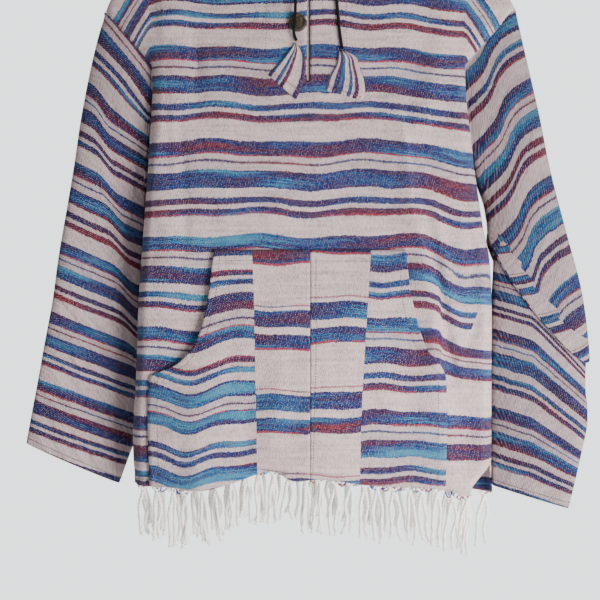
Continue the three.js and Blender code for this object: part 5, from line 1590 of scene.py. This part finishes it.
def cuff_seam(bm, rings):
    """Stitches round a sleeve, a little above its end."""
    last = rings[-1]
    way = rings[-2] - last
    way /= np.linalg.norm(way, axis=1, keepdims=True)
    ring = last + way * CUFF_TURN
    middle = ring[:-1].mean(axis=0)
    out = ring - middle
    out[:, 2] = 0
    out /= np.maximum(np.linalg.norm(out, axis=1, keepdims=True), 1e-6)
    out[:, 1] = np.sign(ring[:, 1] - middle[1])
    out[:, 0] *= 0.3
    out /= np.linalg.norm(out, axis=1, keepdims=True)
    stitches_along(bm, spline(ring + out * CUFF_LIFT, np.linspace(0, 1, CUFF_STATIONS)), 1)


bm = bmesh.new()
for is_left in (True, False):
    cuff_seam(bm, sleeve_rings(is_left))
new_piece("cuff_stitches", bm, thread_material)


# ---------------------------------------------------------------- hanger
# A plain varnished wooden hanger with a bright wire hook carries the garment. Its arms lie just
# under the shoulders, and the hook stands up from their middle through the neck.
WOOD_DARK = (150, 108, 66)
WOOD_LIGHT = (206, 168, 116)
WOOD_GRAIN = (9, 160, 160)       # scale of the grain along the arms and across them
WOOD_RELIEF = 0.0004
WIRE_CLOUDS = 500
WIRE_DARK = (176, 178, 182)
WIRE_LIGHT = (214, 215, 218)
wood, tree, shader = new_material("varnished_beech", 0.45)
shader.inputs["Coat Weight"].default_value = 0.3
grain = clouds(tree, 1.0, 5, WOOD_GRAIN)
tree.links.new(blended(tree, grain, tone(*WOOD_DARK), tone(*WOOD_LIGHT)), shader.inputs["Base Color"])
add_bump(tree, shader, grain, WOOD_RELIEF, 0.4)
steel, tree, shader = new_material("bright_wire", 0.28)
shader.inputs["Metallic"].default_value = 1.0
draw_marks = clouds(tree, WIRE_CLOUDS, 2)
tree.links.new(blended(tree, draw_marks, tone(*WIRE_DARK), tone(*WIRE_LIGHT)), shader.inputs["Base Color"])
finish_node("hanger_arms", wood)
finish_node("hanger_hook", steel)


# ---------------------------------------------------------------- cut of the cloth
# The body, the sleeves and the pocket are straight lengths of the hand-woven cloth, and the hood is rounded
# at the crown.
for side in ("left", "right"):
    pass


# ---------------------------------------------------------------- light and floor
# Soft daylight from the right in front and a second lamp behind at the left, in a pale room with a
# round floor. The bright wall that is seen behind the garment doesn't light it.
FLOOR_LEVEL = -1.45
FLOOR_RADIUS = 1.4
FLOOR_TONE = (226, 228, 230)
DAYLIGHT_TONE = (226, 230, 236)
DAYLIGHT = 0.64
BACKDROP_TONE = (232, 236, 238)
BACKDROP = 2.6                   # strength of the wall as it is seen; it doesn't light the garment

bm = bmesh.new()
bmesh.ops.create_circle(bm, cap_ends=True, segments=128, radius=FLOOR_RADIUS)
bmesh.ops.translate(bm, vec=(0, 0, FLOOR_LEVEL), verts=bm.verts)
floor_mesh = bpy.data.meshes.new("floor")
bm.to_mesh(floor_mesh)
bm.free()
floor = bpy.data.objects.new("floor", floor_mesh)
bpy.context.collection.objects.link(floor)
floor_mesh.materials.append(plain_material("pale_floor", 0.8, FLOOR_TONE))

room = bpy.data.worlds.new("pale_room")
bpy.context.scene.world = room
room.use_nodes = True
links = room.node_tree.links
daylight = room.node_tree.nodes["Background"]
daylight.inputs["Color"].default_value = tone(*DAYLIGHT_TONE)
daylight.inputs["Strength"].default_value = DAYLIGHT
backdrop = node(room.node_tree, "ShaderNodeBackground", (0, -200))
backdrop.inputs["Color"].default_value = tone(*BACKDROP_TONE)
backdrop.inputs["Strength"].default_value = BACKDROP
seen = node(room.node_tree, "ShaderNodeLightPath", (-300, 200))
chosen = node(room.node_tree, "ShaderNodeMixShader", (200, 0))
links.new(seen.outputs["Is Camera Ray"], chosen.inputs[0])
links.new(daylight.outputs[0], chosen.inputs[1])
links.new(backdrop.outputs[0], chosen.inputs[2])
links.new(chosen.outputs[0], room.node_tree.nodes["World Output"].inputs["Surface"])


def soft_light(name, place, target, size, watts):
    """A square lamp at a place, turned to a target."""
    light = bpy.data.lights.new(name, "AREA")
    light.size = size
    light.energy = watts
    lamp = bpy.data.objects.new(name, light)
    lamp.location = place
    lamp.rotation_euler = (Vector(target) - Vector(place)).to_track_quat("-Z", "Y").to_euler()
    bpy.context.collection.objects.link(lamp)


soft_light("window_light", (1.25, -1.25, -1.05), (0.05, 0, -0.65), 1.1, 72)
soft_light("back_light", (-1.5, 2.0, 0.3), (0, 0, -0.5), 1.3, 80)
